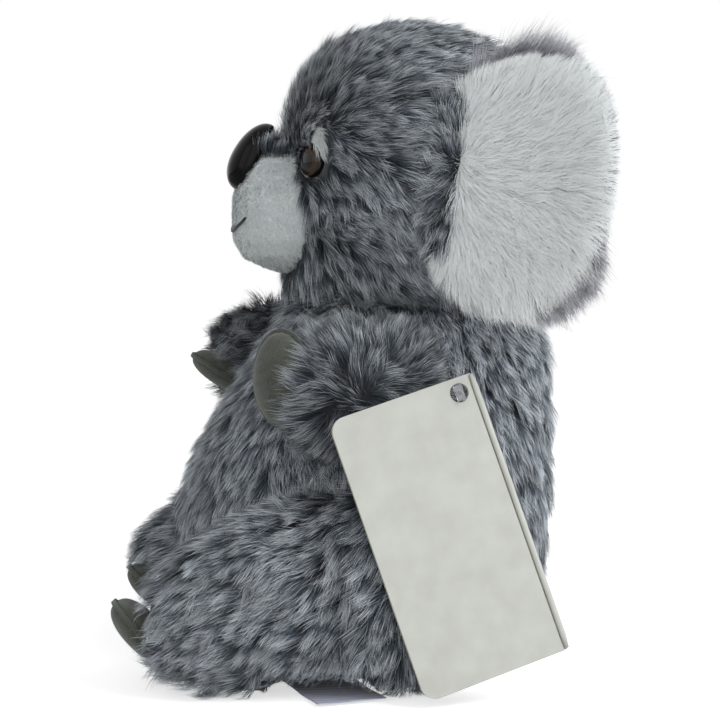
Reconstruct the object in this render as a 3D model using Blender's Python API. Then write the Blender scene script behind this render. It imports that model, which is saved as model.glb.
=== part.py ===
"""A seated plush koala: stuffed body, head, ears and limbs, felt paws, a hard nose, eyes and a hang tag.

Lengths are in metres. The koala faces -Y, its left side is +X and +Z is up. The origin lies on the
floor, in the middle of the flat underside of the seat panel.
"""

import math

import bmesh
import bpy
import numpy as np
from mathutils import Matrix, Vector

for old in list(bpy.data.objects):
    bpy.data.objects.remove(old, do_unlink=True)

# Fits shared by every piece
SEAM_GAP = 0.0003
TURN_GAP = 0.0005
CUT_OVERRUN = 0.020
FLOOR_SINK = 0.0005
SIDES = {"left": 1, "right": -1}

# Body, from the floor to the neck seam
BODY_HEIGHT = 0.1025
BODY_HALF_WIDTH = 0.049
BODY_FRONT = 0.053
BODY_BACK = 0.053
BODY_PLAN_POWER = 2.3
# Each row: share of the height, then shares of the half width, of the front and of the back
BODY_SHARES = (
    (0.00, 0.52, 0.34, 0.46),
    (0.04, 0.72, 0.56, 0.70),
    (0.14, 0.92, 0.82, 0.87),
    (0.30, 1.00, 0.96, 0.92),
    (0.46, 1.00, 0.96, 0.95),
    (0.62, 0.95, 0.84, 0.96),
    (0.78, 0.84, 0.62, 0.97),
    (0.91, 0.68, 0.46, 0.93),
    (1.00, 0.53, 0.36, 0.80),
)

# Seat panel and the pellet bag behind it
SEAT_HALF_WIDTH = 0.0185
SEAT_HALF_DEPTH = 0.024
SEAT_CENTRE_Y = 0.004
SEAT_THICKNESS = 0.0020
PELLET_BAG_HEIGHT = 0.019
BAG_ROUNDING_SHARE = 0.25

# Head, from the neck seam to the crown
NECK_Y = 0.013
HEAD_HEIGHT = 0.0785
HEAD_HALF_WIDTH = 0.042
HEAD_FRONT = 0.036
HEAD_BACK = 0.036
HEAD_PLAN_POWER = 2.35
HEAD_SHARES = (
    (0.00, 0.55, 0.88, 0.62),
    (0.05, 0.74, 0.96, 0.76),
    (0.16, 0.91, 1.00, 0.90),
    (0.33, 1.00, 1.00, 0.99),
    (0.52, 1.00, 0.99, 1.00),
    (0.70, 0.91, 0.93, 0.93),
    (0.84, 0.74, 0.79, 0.79),
    (0.94, 0.48, 0.55, 0.56),
    (1.00, 0.16, 0.20, 0.20),
)

# Muzzle, on the lower front of the head
MUZZLE_RISE = 0.0087
MUZZLE_HEIGHT = 0.0360
MUZZLE_HALF_WIDTH = 0.0205
MUZZLE_FRONT = 0.0242
MUZZLE_BACK = 0.0130
MUZZLE_FORWARD = 0.0275
MUZZLE_PLAN_POWER = 2.2
MUZZLE_SHARES = (
    (0.00, 0.40, 0.48, 0.40),
    (0.06, 0.70, 0.76, 0.66),
    (0.16, 0.90, 0.94, 0.88),
    (0.30, 1.00, 1.00, 1.00),
    (0.46, 1.00, 1.00, 1.00),
    (0.62, 0.91, 0.99, 1.00),
    (0.80, 0.70, 0.93, 0.92),
    (0.94, 0.46, 0.74, 0.66),
    (1.00, 0.20, 0.34, 0.28),
)
MOUTH_HALF_WIDTH = 0.0085
MOUTH_SAG = 0.0030
MOUTH_RISE = 0.0130
MOUTH_THREAD_RADIUS = 0.0005

# Nose: a moulded dome on a barbed stem, locked by a washer inside the head
NOSE_HALF_LENGTH = 0.0107
NOSE_HALF_WIDTH = 0.0078
NOSE_DEPTH = 0.0070
NOSE_EDGE = 0.0016
NOSE_SUNK = 0.0038
NOSE_RISE = 0.0321
NOSE_TILT = math.radians(30)
NOSE_PLAN_POWER = 2.4
STEM_RADIUS = 0.0020
STEM_CLEARANCE = 0.0003
NOSE_STEM_LENGTH = 0.0170
WASHER_RADIUS = 0.0062
WASHER_THICKNESS = 0.0014

# Eyes: domes on stems, each through a short-pile patch into the head
EYE_RADIUS = 0.0046
EYE_DOME = 0.0034
EYE_EDGE = 0.0009
EYE_X = 0.0225
EYE_RISE = 0.0392
EYE_STEM_LENGTH = 0.0120
EYE_SUNK = 0.0008
EYE_TURN = math.radians(28)
PATCH_HALF_WIDTH = 0.0056
PATCH_HALF_HEIGHT = 0.0092
PATCH_OUT = 0.0014
PATCH_UP = 0.0026
PATCH_TURN = math.radians(36)
PATCH_DEPTH = 0.0045
PATCH_THICKNESS = 0.0022

# Ears: a cupped pad of two cloths, sewn to the head along a rolled root
EAR_ROOT_INSET = 0.0020
EAR_ROOT_BACK = 0.0020
EAR_ROOT_RISE = 0.0345
EAR_ROOT_RADIUS = 0.0050
EAR_ROOT_HALF_LENGTH = 0.0190
EAR_LEAN = math.radians(6)
EAR_PITCH = math.radians(8)
EAR_SPREAD = math.radians(46)
EAR_HALF_WIDTH = 0.0250
EAR_HALF_HEIGHT = 0.0335
EAR_CENTRE_OUT = 0.0222
EAR_CENTRE_UP = -0.0022
EAR_CUP = 0.0045
EAR_LINING_PUFF = 0.0055
EAR_BACK_PUFF = 0.0050
EAR_RIM = 0.0007
EAR_PLAN_POWER = 2.6
EAR_FOLD_BACK = math.radians(12)
EAR_FOLD_FORWARD = math.radians(18)

# Arms: a shoulder sewn into the body's side and a fore-arm that reaches to the front
SHOULDER_INSET = 0.0090
SHOULDER_Y = -0.0030
SHOULDER_DROP = 0.0065
SHOULDER_RADIUS = 0.0140
SHOULDER_HEIGHT = 0.0315
ARM_HALF_WIDTH = 0.0120
ARM_HALF_HEIGHT = 0.0162
ARM_OUT = 0.0060
HAND_IN = -0.0010
LEFT_HAND_DROP = 0.0025
RIGHT_HAND_DROP = -0.0030
ARM_BEND_SHARE = 0.6
LEFT_ARM_REACH = 0.0255
RIGHT_ARM_REACH = 0.0362
# Each row: share along the arm, share of the half width, share of the half height
ARM_SHARES = ((0.00, 0.94, 0.96), (0.35, 1.00, 1.00), (0.70, 0.96, 0.92), (1.00, 0.90, 0.84))

# Legs: a thigh that stands on the floor and a shin that lies forward
HIP_INSET = 0.0040
HIP_Y = -0.0040
HIP_RADIUS = 0.0215
HIP_UNDER_ARM = 0.0115
SHIN_HALF_WIDTH = 0.0165
SHIN_HALF_HEIGHT = 0.0270
LEG_OUT = 0.0030
FOOT_IN = 0.0050
LEFT_LEG_REACH = 0.0620
RIGHT_LEG_REACH = 0.0590
# Each row: share along the leg, share of the half width, share of the half height
LEFT_LEG_SHARES = (
    (0.00, 1.00, 1.00),
    (0.30, 1.00, 0.95),
    (0.62, 0.94, 0.80),
    (0.86, 0.88, 0.62),
    (1.00, 0.84, 0.54),
)
RIGHT_LEG_SHARES = (
    (0.00, 1.00, 1.00),
    (0.30, 1.00, 0.92),
    (0.62, 0.94, 0.68),
    (0.86, 0.88, 0.46),
    (1.00, 0.84, 0.42),
)
LEFT_LEG_RISE_SHARES = (1.00, 0.86, 0.48)
RIGHT_LEG_RISE_SHARES = (1.00, 0.88, 0.80)

# Felt paws and feet: two felt shells sewn edge to edge, the raw edge left outside
PAW_HALF_LENGTH = 0.0125
PAW_HALF_WIDTH = 0.0094
PAW_HALF_THICKNESS = 0.0046
LEFT_PAW_OVERLAP = 0.0024
RIGHT_PAW_OVERLAP = 0.0075
LEFT_PAW_DROP = -0.0050
RIGHT_PAW_DROP = 0.0050
LEFT_PAW_TURN = math.radians(42)
RIGHT_PAW_TURN = math.radians(8)
LEFT_PAW_PITCH = math.radians(0)
RIGHT_PAW_PITCH = math.radians(60)
FOOT_HALF_LENGTH = 0.0104
FOOT_HALF_WIDTH = 0.0104
FOOT_HALF_THICKNESS = 0.0050
LEFT_FOOT_OVERLAP = 0.0030
RIGHT_FOOT_OVERLAP = 0.0085
LEFT_FOOT_TIP_FORWARD = math.radians(43)
RIGHT_FOOT_TIP_FORWARD = math.radians(50)
LEFT_FOOT_LIFT = 0.0030
RIGHT_FOOT_LIFT = -0.0095
FELT_EDGE = 0.0010
FELT_EDGE_HALF_THICKNESS = 0.0007

# Hang tag: a folded card on a clear plastic pin
TAG_WIDTH = 0.0400
TAG_LENGTH = 0.0760
TAG_CARD = 0.0005
TAG_LEAF_GAP = 0.0006
TAG_FOLD_SWELL = 0.0001
TAG_CORNER = 0.0040
TAG_HOLE_RADIUS = 0.0025
TAG_HOLE_IN = 0.0048
TAG_HOLE_DOWN = 0.0040
TAG_STAND_OFF = 0.0140
TAG_BEHIND_SHOULDER = 0.0022
TAG_HOLE_DROP = 0.0225
TAG_TILT = math.radians(9)
TAG_LEAN = math.radians(18)
PIN_RADIUS = 0.0006
PIN_BURIED = 0.0300
PIN_BAR_HALF_LENGTH = 0.0045
PIN_BAR_RADIUS = 0.0009
PIN_PADDLE_CLEARANCE = 0.0004
PIN_PADDLE_WIDTH_SHARE = 0.5
PIN_PADDLE_THICKNESS = 0.0008
PIN_BORE_CLEARANCE = 0.0003

# Sewn-in ribbon label, pinched under the left thigh
LABEL_WIDTH = 0.0190
LABEL_LENGTH = 0.0330
LABEL_THICKNESS = 0.0004
LABEL_TUCK = 0.0100
LABEL_FORWARD = 0.0180
LABEL_TURN = math.radians(11)
LABEL_RISE = 0.0004

# Counts of faces round and along the forms
BODY_ROUND, BODY_RINGS = 30, 13
HEAD_ROUND, HEAD_RINGS = 30, 14
MUZZLE_ROUND, MUZZLE_RINGS = 24, 9
LIMB_ROUND, LIMB_RINGS = 20, 9
EAR_ROUND, EAR_RINGS = 22, 5
LOBE_ROUND, LOBE_RINGS = 18, 3
SMALL_ROUND, SMALL_RINGS = 18, 4
BAR_ROUND = 10
MOUTH_POINTS = 9
TUBE_TIP_SHARE = 0.12

# Places that follow from the sizes above
HEAD_BASE_Z = BODY_HEIGHT + SEAM_GAP
NECK_PIVOT = (0, NECK_Y, HEAD_BASE_Z)
MUZZLE_BASE_Z = HEAD_BASE_Z + MUZZLE_RISE
MUZZLE_Y = NECK_Y - MUZZLE_FORWARD
MOUTH_Z = MUZZLE_BASE_Z + MOUTH_RISE
NOSE_SEAT_Z = MUZZLE_BASE_Z + NOSE_RISE
EYE_Z = HEAD_BASE_Z + EYE_RISE
EAR_ROOT_X = HEAD_HALF_WIDTH - EAR_ROOT_INSET
EAR_ROOT_Y = NECK_Y + EAR_ROOT_BACK
EAR_ROOT_Z = HEAD_BASE_Z + EAR_ROOT_RISE
SHOULDER_X = BODY_HALF_WIDTH - SHOULDER_INSET
SHOULDER_Z = BODY_HEIGHT - SHOULDER_DROP - SHOULDER_HEIGHT
HIP_X = BODY_HALF_WIDTH - HIP_INSET
HIP_HEIGHT = SHOULDER_Z - HIP_UNDER_ARM
TAG_HOLE_X = BODY_HALF_WIDTH + TAG_STAND_OFF
TAG_HOLE_Y = SHOULDER_Y + SHOULDER_RADIUS + TAG_BEHIND_SHOULDER
TAG_HOLE_Z = BODY_HEIGHT - TAG_HOLE_DROP
TAG_HOLE = Vector((TAG_HOLE_X, TAG_HOLE_Y, TAG_HOLE_Z))
TAG_NORMAL = Vector((math.cos(TAG_TILT), 0, math.sin(TAG_TILT)))
LABEL_INNER_X = HIP_X - LABEL_TUCK
LABEL_CENTRE_Y = HIP_Y - LABEL_FORWARD
PAW_SETS = {
    "left": (LEFT_PAW_TURN, LEFT_PAW_PITCH, LEFT_PAW_OVERLAP, LEFT_PAW_DROP),
    "right": (RIGHT_PAW_TURN, RIGHT_PAW_PITCH, RIGHT_PAW_OVERLAP, RIGHT_PAW_DROP),
}
HAND_DROPS = {"left": LEFT_HAND_DROP, "right": RIGHT_HAND_DROP}
LEG_RISES = {"left": LEFT_LEG_RISE_SHARES, "right": RIGHT_LEG_RISE_SHARES}
LEG_SHARES = {"left": LEFT_LEG_SHARES, "right": RIGHT_LEG_SHARES}
FOOT_SETS = {
    "left": (LEFT_FOOT_TIP_FORWARD, LEFT_FOOT_OVERLAP, LEFT_FOOT_LIFT),
    "right": (RIGHT_FOOT_TIP_FORWARD, RIGHT_FOOT_OVERLAP, RIGHT_FOOT_LIFT),
}


def material(name, red, green, blue, roughness, alpha=1.0):
    """One Principled finish, with its colour in linear values."""
    made = bpy.data.materials.new(name)
    made.use_nodes = True
    shader = made.node_tree.nodes["Principled BSDF"]
    shader.inputs["Base Color"].default_value = (red, green, blue, 1)
    shader.inputs["Roughness"].default_value = roughness
    shader.inputs["Metallic"].default_value = 0
    shader.inputs["Alpha"].default_value = alpha
    made.diffuse_color = (red, green, blue, alpha)
    return made


GREY_PLUSH = material("grey_plush", 0.13, 0.14, 0.17, 0.95)
WHITE_PLUSH = material("white_plush", 0.65, 0.67, 0.67, 0.95)
FELT = material("grey_green_felt", 0.12, 0.13, 0.095, 0.95)
SEAT_CLOTH = material("seat_cloth", 0.10, 0.11, 0.13, 0.95)
BAG_CLOTH = material("bag_cloth", 0.55, 0.54, 0.50, 0.9)
BLACK_PLASTIC = material("black_plastic", 0.012, 0.012, 0.014, 0.15)
AMBER_PLASTIC = material("amber_plastic", 0.14, 0.05, 0.015, 0.12)
WASHER_PLASTIC = material("washer_plastic", 0.55, 0.55, 0.52, 0.5)
DARK_THREAD = material("dark_thread", 0.02, 0.02, 0.022, 0.8)
CARD = material("pale_card", 0.60, 0.62, 0.57, 0.6)
CLEAR_NYLON = material("clear_nylon", 0.55, 0.58, 0.60, 0.3, 0.6)
SATIN = material("grey_satin", 0.27, 0.30, 0.39, 0.4)


def new_object(name, mesh, finish=None, pivot=(0, 0, 0)):
    """Give a mesh made in world coordinates its object, with its origin moved to the pivot."""
    mesh.transform(Matrix.Translation(-Vector(pivot)))
    made = bpy.data.objects.new(name, mesh)
    made.location = pivot
    bpy.context.scene.collection.objects.link(made)
    if finish is None:
        made.hide_render = True
        made.display_type = "WIRE"
    else:
        mesh.materials.append(finish)
    return made


def boolean(target, other, operation):
    """Cut the target by another object, or join the two, and keep it as a modifier."""
    step = target.modifiers.new(other.name, "BOOLEAN")
    step.operation = operation
    step.solver = "EXACT"
    step.object = other


def cut(target, *others):
    """Cut the target by each of the other objects."""
    for other in others:
        boolean(target, other, "DIFFERENCE")


def join(target, *others):
    """Join each of the other objects to the target."""
    for other in others:
        boolean(target, other, "UNION")


def smooth_columns(table, shares):
    """Read the columns of a table of shares at given places, along smooth curves through its rows."""
    rows = np.array(table, float)
    places, values = rows[:, 0], rows[:, 1:]
    slopes = np.gradient(values, places, axis=0)
    found = []
    for share in shares:
        row = min(max(np.searchsorted(places, share, side="right") - 1, 0), len(places) - 2)
        step = places[row + 1] - places[row]
        t = (share - places[row]) / step
        start = (1 + 2 * t) * (1 - t) ** 2 * values[row] + t * (1 - t) ** 2 * step * slopes[row]
        end = t * t * (3 - 2 * t) * values[row + 1] - t * t * (1 - t) * step * slopes[row + 1]
        found.append(start + end)
    return np.array(found)


def signed_power(value, power):
    """Raise a cosine or sine to a power and keep its sign."""
    return math.copysign(abs(value) ** power, value)


def skin_rings(name, rings):
    """Close a stack of rings of points into one body, with a pole of triangles at each end."""
    form = bmesh.new()
    loops = [[form.verts.new(point) for point in ring] for ring in rings]
    for low, high in zip(loops, loops[1:]):
        for index in range(len(low)):
            after = (index + 1) % len(low)
            form.faces.new((low[index], low[after], high[after], high[index]))
    for loop, order in ((loops[0], -1), (loops[-1], 1)):
        middle = form.verts.new(sum((vert.co for vert in loop), Vector()) / len(loop))
        for index in range(len(loop)):
            after = (index + 1) % len(loop)
            form.faces.new((loop[index], loop[after], middle)[::order])
    bmesh.ops.recalc_face_normals(form, faces=form.faces)
    mesh = bpy.data.meshes.new(name)
    form.to_mesh(mesh)
    form.free()
    mesh.shade_smooth()
    return mesh


def crowded_ends(count):
    """Shares from 0 to 1 that lie closer together near both ends."""
    return [(1 - math.cos(math.pi * step / count)) / 2 for step in range(count + 1)]


def upright_mesh(name, centre, height, half_width, front, back, table, power, rounds, rings, grow=0.0):
    """A stuffed form that stands upright: each level is a rounded outline, wider or narrower by shares."""
    base = Vector(centre)
    levels = crowded_ends(rings)
    stack = []
    for level, shares in zip(levels, smooth_columns(table, levels)):
        wide, ahead, behind = shares
        ring = []
        for index in range(rounds):
            angle = 2 * math.pi * index / rounds
            across = signed_power(math.cos(angle), 2 / power)
            along = signed_power(math.sin(angle), 2 / power)
            reach = back * behind if along > 0 else front * ahead
            x = across * (half_width * wide + grow)
            y = along * (reach + grow)
            z = level * (height + 2 * grow) - grow
            ring.append(base + Vector((x, y, z)))
        stack.append(ring)
    return skin_rings(name, stack)


def domed_shares(rise_share, bottom_share):
    """Shares for a form of revolution: a drawn-in foot, full sides and a domed top."""
    side_shares = [(0.00, bottom_share), (0.05, 0.72), (0.18, 0.93), (0.40, 1.00), (rise_share, 0.97)]
    top_shares = [(0.86, 0.76), (0.96, 0.42), (1.00, 0.12)]
    return tuple((place, share, share, share) for place, share in side_shares + top_shares)


THIGH_SHARES = domed_shares(0.64, 0.40)
SHOULDER_SHARES = domed_shares(0.66, 0.30)


def swept_mesh(name, route, half_width, half_height, table, rounds, rings):
    """A stuffed tube along a route of points, rounded at its far end, its sections set by shares."""
    points = np.array([tuple(point) for point in route])
    places = np.linspace(0, 1, len(points))
    line = np.column_stack([places, points])
    levels = [math.sin(math.pi / 2 * step / rings) for step in range(rings + 1)]
    centres = smooth_columns(line, levels)
    girths = smooth_columns(table, levels)
    length = sum((Vector(b) - Vector(a)).length for a, b in zip(points, points[1:]))
    round_share = half_width / length
    stack = []
    for index, (level, centre, girth) in enumerate(zip(levels, centres, girths)):
        before, after = centres[max(index - 1, 0)], centres[min(index + 1, rings)]
        forward = Vector(after - before).normalized()
        across = forward.cross(Vector((0, 0, 1))).normalized()
        up = across.cross(forward)
        left_over = max(0.0, (level - 1 + round_share) / round_share)
        close = max(math.sqrt(max(0.0, 1 - left_over ** 2)), TUBE_TIP_SHARE)
        ring = []
        for turn in range(rounds):
            angle = 2 * math.pi * turn / rounds
            side = across * (math.cos(angle) * half_width * girth[0] * close)
            ring.append(Vector(centre) + side + up * (math.sin(angle) * half_height * girth[1] * close))
        stack.append(ring)
    return skin_rings(name, stack)


def turned_mesh(name, profile, rounds, place, wide=1.0, tall=1.0, power=2.0):
    """Turn a profile of (radius, height) pairs about its axis, then stretch and place it.

    A power above two makes the outline boxier.
    """
    stack = []
    for radius, height in profile:
        ring = []
        for index in range(rounds):
            angle = 2 * math.pi * index / rounds
            across = signed_power(math.cos(angle), 2 / power) * radius * wide
            along = signed_power(math.sin(angle), 2 / power) * radius * tall
            ring.append(place @ Vector((across, along, height)))
        stack.append(ring)
    return skin_rings(name, stack)


def rod_mesh(name, start, end, radius, rounds=BAR_ROUND):
    """A straight round rod between two points."""
    start, end = Vector(start), Vector(end)
    place = Matrix.Translation(start) @ (end - start).to_track_quat("Z", "Y").to_matrix().to_4x4()
    return turned_mesh(name, [(radius, 0), (radius, (end - start).length)], rounds, place)


def box_mesh(name, low, high, place=Matrix()):
    """A block between two corners, in a local frame."""
    low, high = Vector(low), Vector(high)
    form = bmesh.new()
    bmesh.ops.create_cube(form, size=1)
    for vert in form.verts:
        share = vert.co + Vector((0.5, 0.5, 0.5))
        vert.co = place @ Vector(low[axis] + share[axis] * (high[axis] - low[axis]) for axis in range(3))
    bmesh.ops.recalc_face_normals(form, faces=form.faces)
    mesh = bpy.data.meshes.new(name)
    form.to_mesh(mesh)
    form.free()
    return mesh


def frame_at(origin, x_axis, z_axis):
    """A local frame at a point, its Z along one direction and its X near another."""
    z = Vector(z_axis).normalized()
    y = z.cross(Vector(x_axis)).normalized()
    x = y.cross(z)
    return Matrix.Translation(origin) @ Matrix((x, y, z)).transposed().to_4x4()


def body_mesh(name, grow=0.0):
    """The body's outer form, a pear that leans on its seat."""
    base = (0, 0, -FLOOR_SINK)
    height = BODY_HEIGHT + FLOOR_SINK
    return upright_mesh(name, base, height, BODY_HALF_WIDTH, BODY_FRONT, BODY_BACK, BODY_SHARES,
                        BODY_PLAN_POWER, BODY_ROUND, BODY_RINGS, grow)


def head_mesh(name, grow=0.0):
    """The head's outer form, full in the cheeks and flat at the neck seam."""
    base = (0, NECK_Y, HEAD_BASE_Z)
    return upright_mesh(name, base, HEAD_HEIGHT, HEAD_HALF_WIDTH, HEAD_FRONT, HEAD_BACK, HEAD_SHARES,
                        HEAD_PLAN_POWER, HEAD_ROUND, HEAD_RINGS, grow)


def muzzle_mesh(name, grow=0.0):
    """The muzzle's outer form, before the head cuts its back away."""
    base = (0, MUZZLE_Y, MUZZLE_BASE_Z)
    return upright_mesh(name, base, MUZZLE_HEIGHT, MUZZLE_HALF_WIDTH, MUZZLE_FRONT, MUZZLE_BACK, MUZZLE_SHARES,
                        MUZZLE_PLAN_POWER, MUZZLE_ROUND, MUZZLE_RINGS, grow)


def front_of(base_y, reach, table, half_width, power, share, x):
    """Y of a form's front at a share of its height, x away from the middle."""
    wide, ahead, _ = smooth_columns(table, [share])[0]
    across = min(abs(x) / (half_width * wide), 1)
    return base_y - reach * ahead * (1 - across ** power) ** (1 / power)


def head_front(x, z):
    """Y of the head's front surface at a height, x away from the middle."""
    share = (z - HEAD_BASE_Z) / HEAD_HEIGHT
    return front_of(NECK_Y, HEAD_FRONT, HEAD_SHARES, HEAD_HALF_WIDTH, HEAD_PLAN_POWER, share, x)


def muzzle_front(x, z):
    """Y of the muzzle's front surface at a height, x away from the middle."""
    share = (z - MUZZLE_BASE_Z) / MUZZLE_HEIGHT
    return front_of(MUZZLE_Y, MUZZLE_FRONT, MUZZLE_SHARES, MUZZLE_HALF_WIDTH, MUZZLE_PLAN_POWER, share, x)


# Body, seat panel and pellet bag
FLOOR_CUTTER = new_object("floor_cutter", box_mesh("floor_cutter", (-BODY_HEIGHT, -BODY_HEIGHT, -CUT_OVERRUN),
                                                   (BODY_HEIGHT, BODY_HEIGHT, 0)))


def oval_block(name, height_low, height_high, grow, crown=0.0):
    """An upright oval block under the body, for the seat panel, the bag and their pocket."""
    place = Matrix.Translation((0, SEAT_CENTRE_Y, 0))
    wide = SEAT_HALF_WIDTH + grow
    profile = [(wide - crown, height_low), (wide, height_low + crown), (wide, height_high - crown),
               (wide - crown, height_high)]
    if not crown:
        profile = [profile[0], profile[-1]]
    return turned_mesh(name, profile, SMALL_ROUND, place, 1, (SEAT_HALF_DEPTH + grow) / wide)


def make_body():
    """The body's cover and filling, with the pocket that holds the pellet bag over the seat panel."""
    body = new_object("body", body_mesh("body"), GREY_PLUSH)
    pocket_top = SEAT_THICKNESS + PELLET_BAG_HEIGHT + 2 * SEAM_GAP
    pocket = new_object("pellet_pocket", oval_block("pellet_pocket", -CUT_OVERRUN, pocket_top, SEAM_GAP))
    cut(body, FLOOR_CUTTER, pocket)
    seat = oval_block("seat_panel", -FLOOR_SINK, SEAT_THICKNESS, 0, FLOOR_SINK)
    cut(new_object("seat_panel", seat, SEAT_CLOTH), FLOOR_CUTTER)
    bag_low = SEAT_THICKNESS + SEAM_GAP
    rounding = PELLET_BAG_HEIGHT * BAG_ROUNDING_SHARE
    bag = oval_block("pellet_bag", bag_low, bag_low + PELLET_BAG_HEIGHT, 0, rounding)
    new_object("pellet_bag", bag, BAG_CLOTH)
    return body


def pocket_profile(stem_length, bore_top):
    """The hollow in the filling round a washer, and the bore for the stem up to a height."""
    wide = WASHER_RADIUS + STEM_CLEARANCE
    bore = STEM_RADIUS + STEM_CLEARANCE
    top = -stem_length + 2 * WASHER_THICKNESS + 2 * STEM_CLEARANCE
    low = -stem_length - STEM_CLEARANCE
    return [(wide, low), (wide, top), (bore, top), (bore, bore_top)]


def make_washer(name, place, stem_length):
    """A push-on lock washer near the stem's end."""
    low = -stem_length + WASHER_THICKNESS
    disc = [(WASHER_RADIUS, low), (WASHER_RADIUS, low + WASHER_THICKNESS)]
    washer = new_object(name, turned_mesh(name, disc, SMALL_ROUND, place), WASHER_PLASTIC, NECK_PIVOT)
    bore = [(STEM_RADIUS + STEM_CLEARANCE, -stem_length - CUT_OVERRUN), (STEM_RADIUS + STEM_CLEARANCE, 0)]
    cut(washer, new_object(name + "_bore", turned_mesh(name + "_bore", bore, SMALL_ROUND, place)))


def dome_profile(radius, depth, edge, stem_length):
    """From the stem's end up to the crown of a dome with a rounded edge."""
    profile = [(STEM_RADIUS, -stem_length), (STEM_RADIUS, 0), (radius - edge / 2, 0), (radius, edge / 2)]
    for step in range(1, SMALL_RINGS):
        angle = math.pi / 2 * step / SMALL_RINGS
        profile.append((radius * math.cos(angle), edge + (depth - edge) * math.sin(angle)))
    return profile


def nose_place():
    """The nose's frame: its flat back on the muzzle, its axis forward and up."""
    outward = Vector((0, -math.cos(NOSE_TILT), math.sin(NOSE_TILT)))
    seat_y = muzzle_front(0, NOSE_SEAT_Z) + NOSE_SUNK
    return frame_at((0, seat_y, NOSE_SEAT_Z), (1, 0, 0), outward)


def make_nose():
    """The nose's dome, an oval on a round stem, and the recess that it presses into the plush."""
    place = nose_place()
    wide, tall = NOSE_HALF_WIDTH / NOSE_HALF_LENGTH, 1
    dome = dome_profile(NOSE_HALF_LENGTH, NOSE_DEPTH, NOSE_EDGE, 0)[2:]
    nose = turned_mesh("nose", dome, SMALL_ROUND, place, wide, tall, NOSE_PLAN_POWER)
    nose = new_object("nose", nose, BLACK_PLASTIC, NECK_PIVOT)
    stem = [(STEM_RADIUS, -NOSE_STEM_LENGTH), (STEM_RADIUS, NOSE_EDGE)]
    join(nose, new_object("nose_stem", turned_mesh("nose_stem", stem, SMALL_ROUND, place)))
    over = [(NOSE_HALF_LENGTH + SEAM_GAP, -SEAM_GAP), (NOSE_HALF_LENGTH + SEAM_GAP, CUT_OVERRUN)]
    recess = turned_mesh("nose_recess", over, SMALL_ROUND, place, wide, tall, NOSE_PLAN_POWER)
    return new_object("nose_recess", recess)


def eye_place(side):
    """An eye's frame: its flat back a little inside the head's face, its axis forward and outward."""
    outward = Vector((side * math.sin(EYE_TURN), -math.cos(EYE_TURN), 0))
    seat = Vector((side * EYE_X, head_front(EYE_X, EYE_Z), EYE_Z))
    return frame_at(seat - outward * EYE_SUNK, (0, 0, 1), outward)


def patch_place(side):
    """The frame of the patch round an eye, on the head's face outside and above the eye."""
    outward = Vector((side * math.sin(PATCH_TURN), -math.cos(PATCH_TURN), 0))
    x, z = EYE_X + PATCH_OUT, EYE_Z + PATCH_UP
    return frame_at(Vector((side * x, head_front(x, z), z)), (0, 0, 1), outward)


def patch_mesh(name, place, grow=0.0):
    """A lens that swells out of the head round the eye."""
    low, high = -PATCH_DEPTH, PATCH_THICKNESS + grow
    steps = [math.pi / 2 * step / SMALL_RINGS for step in range(SMALL_RINGS)]
    lens = [(math.cos(angle), low + (high - low) * math.sin(angle)) for angle in steps]
    return turned_mesh(name, lens, SMALL_ROUND, place, PATCH_HALF_HEIGHT + grow, PATCH_HALF_WIDTH + grow)


def make_eye(word, side, head_form, muzzle):
    """One eye with its washer and its patch, and the hollow that they need in the head."""
    place, round_eye = eye_place(side), patch_place(side)
    profile = dome_profile(EYE_RADIUS, EYE_DOME, EYE_EDGE, EYE_STEM_LENGTH)
    eye = turned_mesh("eye_" + word, profile, SMALL_ROUND, place)
    new_object("eye_" + word, eye, AMBER_PLASTIC, NECK_PIVOT)
    make_washer("eye_washer_" + word, place, EYE_STEM_LENGTH)
    patch = new_object("eye_patch_" + word, patch_mesh("eye_patch_" + word, round_eye), WHITE_PLUSH, NECK_PIVOT)
    room_name = "patch_room_" + word
    room = new_object(room_name, patch_mesh(room_name, round_eye, SEAM_GAP))
    over = EYE_RADIUS + SEAM_GAP
    pocket = pocket_profile(EYE_STEM_LENGTH, -SEAM_GAP) + [(over, -SEAM_GAP), (over, CUT_OVERRUN)]
    socket = new_object("eye_socket_" + word, turned_mesh("eye_socket_" + word, pocket, SMALL_ROUND, place))
    cut(patch, head_form, socket)
    cut(muzzle, room, socket)
    return socket


def ear_place(side):
    """An ear's frame at its root: X outward along the ear, Y towards its back, Z up the root seam."""
    lean = Matrix.Rotation(-EAR_PITCH, 3, "X") @ Matrix.Rotation(-side * EAR_LEAN, 3, "Y")
    up = lean @ Vector((0, 0, 1))
    out = lean @ Vector((side * math.cos(EAR_SPREAD), math.sin(EAR_SPREAD), 0))
    back = up.cross(out) * side
    origin = (side * EAR_ROOT_X, EAR_ROOT_Y, EAR_ROOT_Z)
    return Matrix.Translation(origin) @ Matrix((out, back, up)).transposed().to_4x4()


def ear_shell(name, place, inner_off, puff, way):
    """One cloth of the ear: a cupped face against the other cloth and a puffed face on its own side."""
    def face(off, swell):
        rings = []
        for step in range(EAR_RINGS + 1):
            share = math.sin(math.pi / 2 * step / EAR_RINGS)
            cup = EAR_CUP * (1 - share ** 2)
            depth = cup + way * (off + swell * math.sqrt(1 - share ** 2))
            ring = []
            for index in range(EAR_ROUND):
                angle = 2 * math.pi * index / EAR_ROUND
                out = signed_power(math.cos(angle), 2 / EAR_PLAN_POWER) * EAR_HALF_WIDTH * share
                up = signed_power(math.sin(angle), 2 / EAR_PLAN_POWER) * EAR_HALF_HEIGHT * share
                ring.append(place @ Vector((EAR_CENTRE_OUT + out, depth, EAR_CENTRE_UP + up)))
            rings.append(ring)
        return rings[1:]
    return skin_rings(name, face(inner_off, 0) + face(inner_off + EAR_RIM, puff)[::-1])


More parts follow.
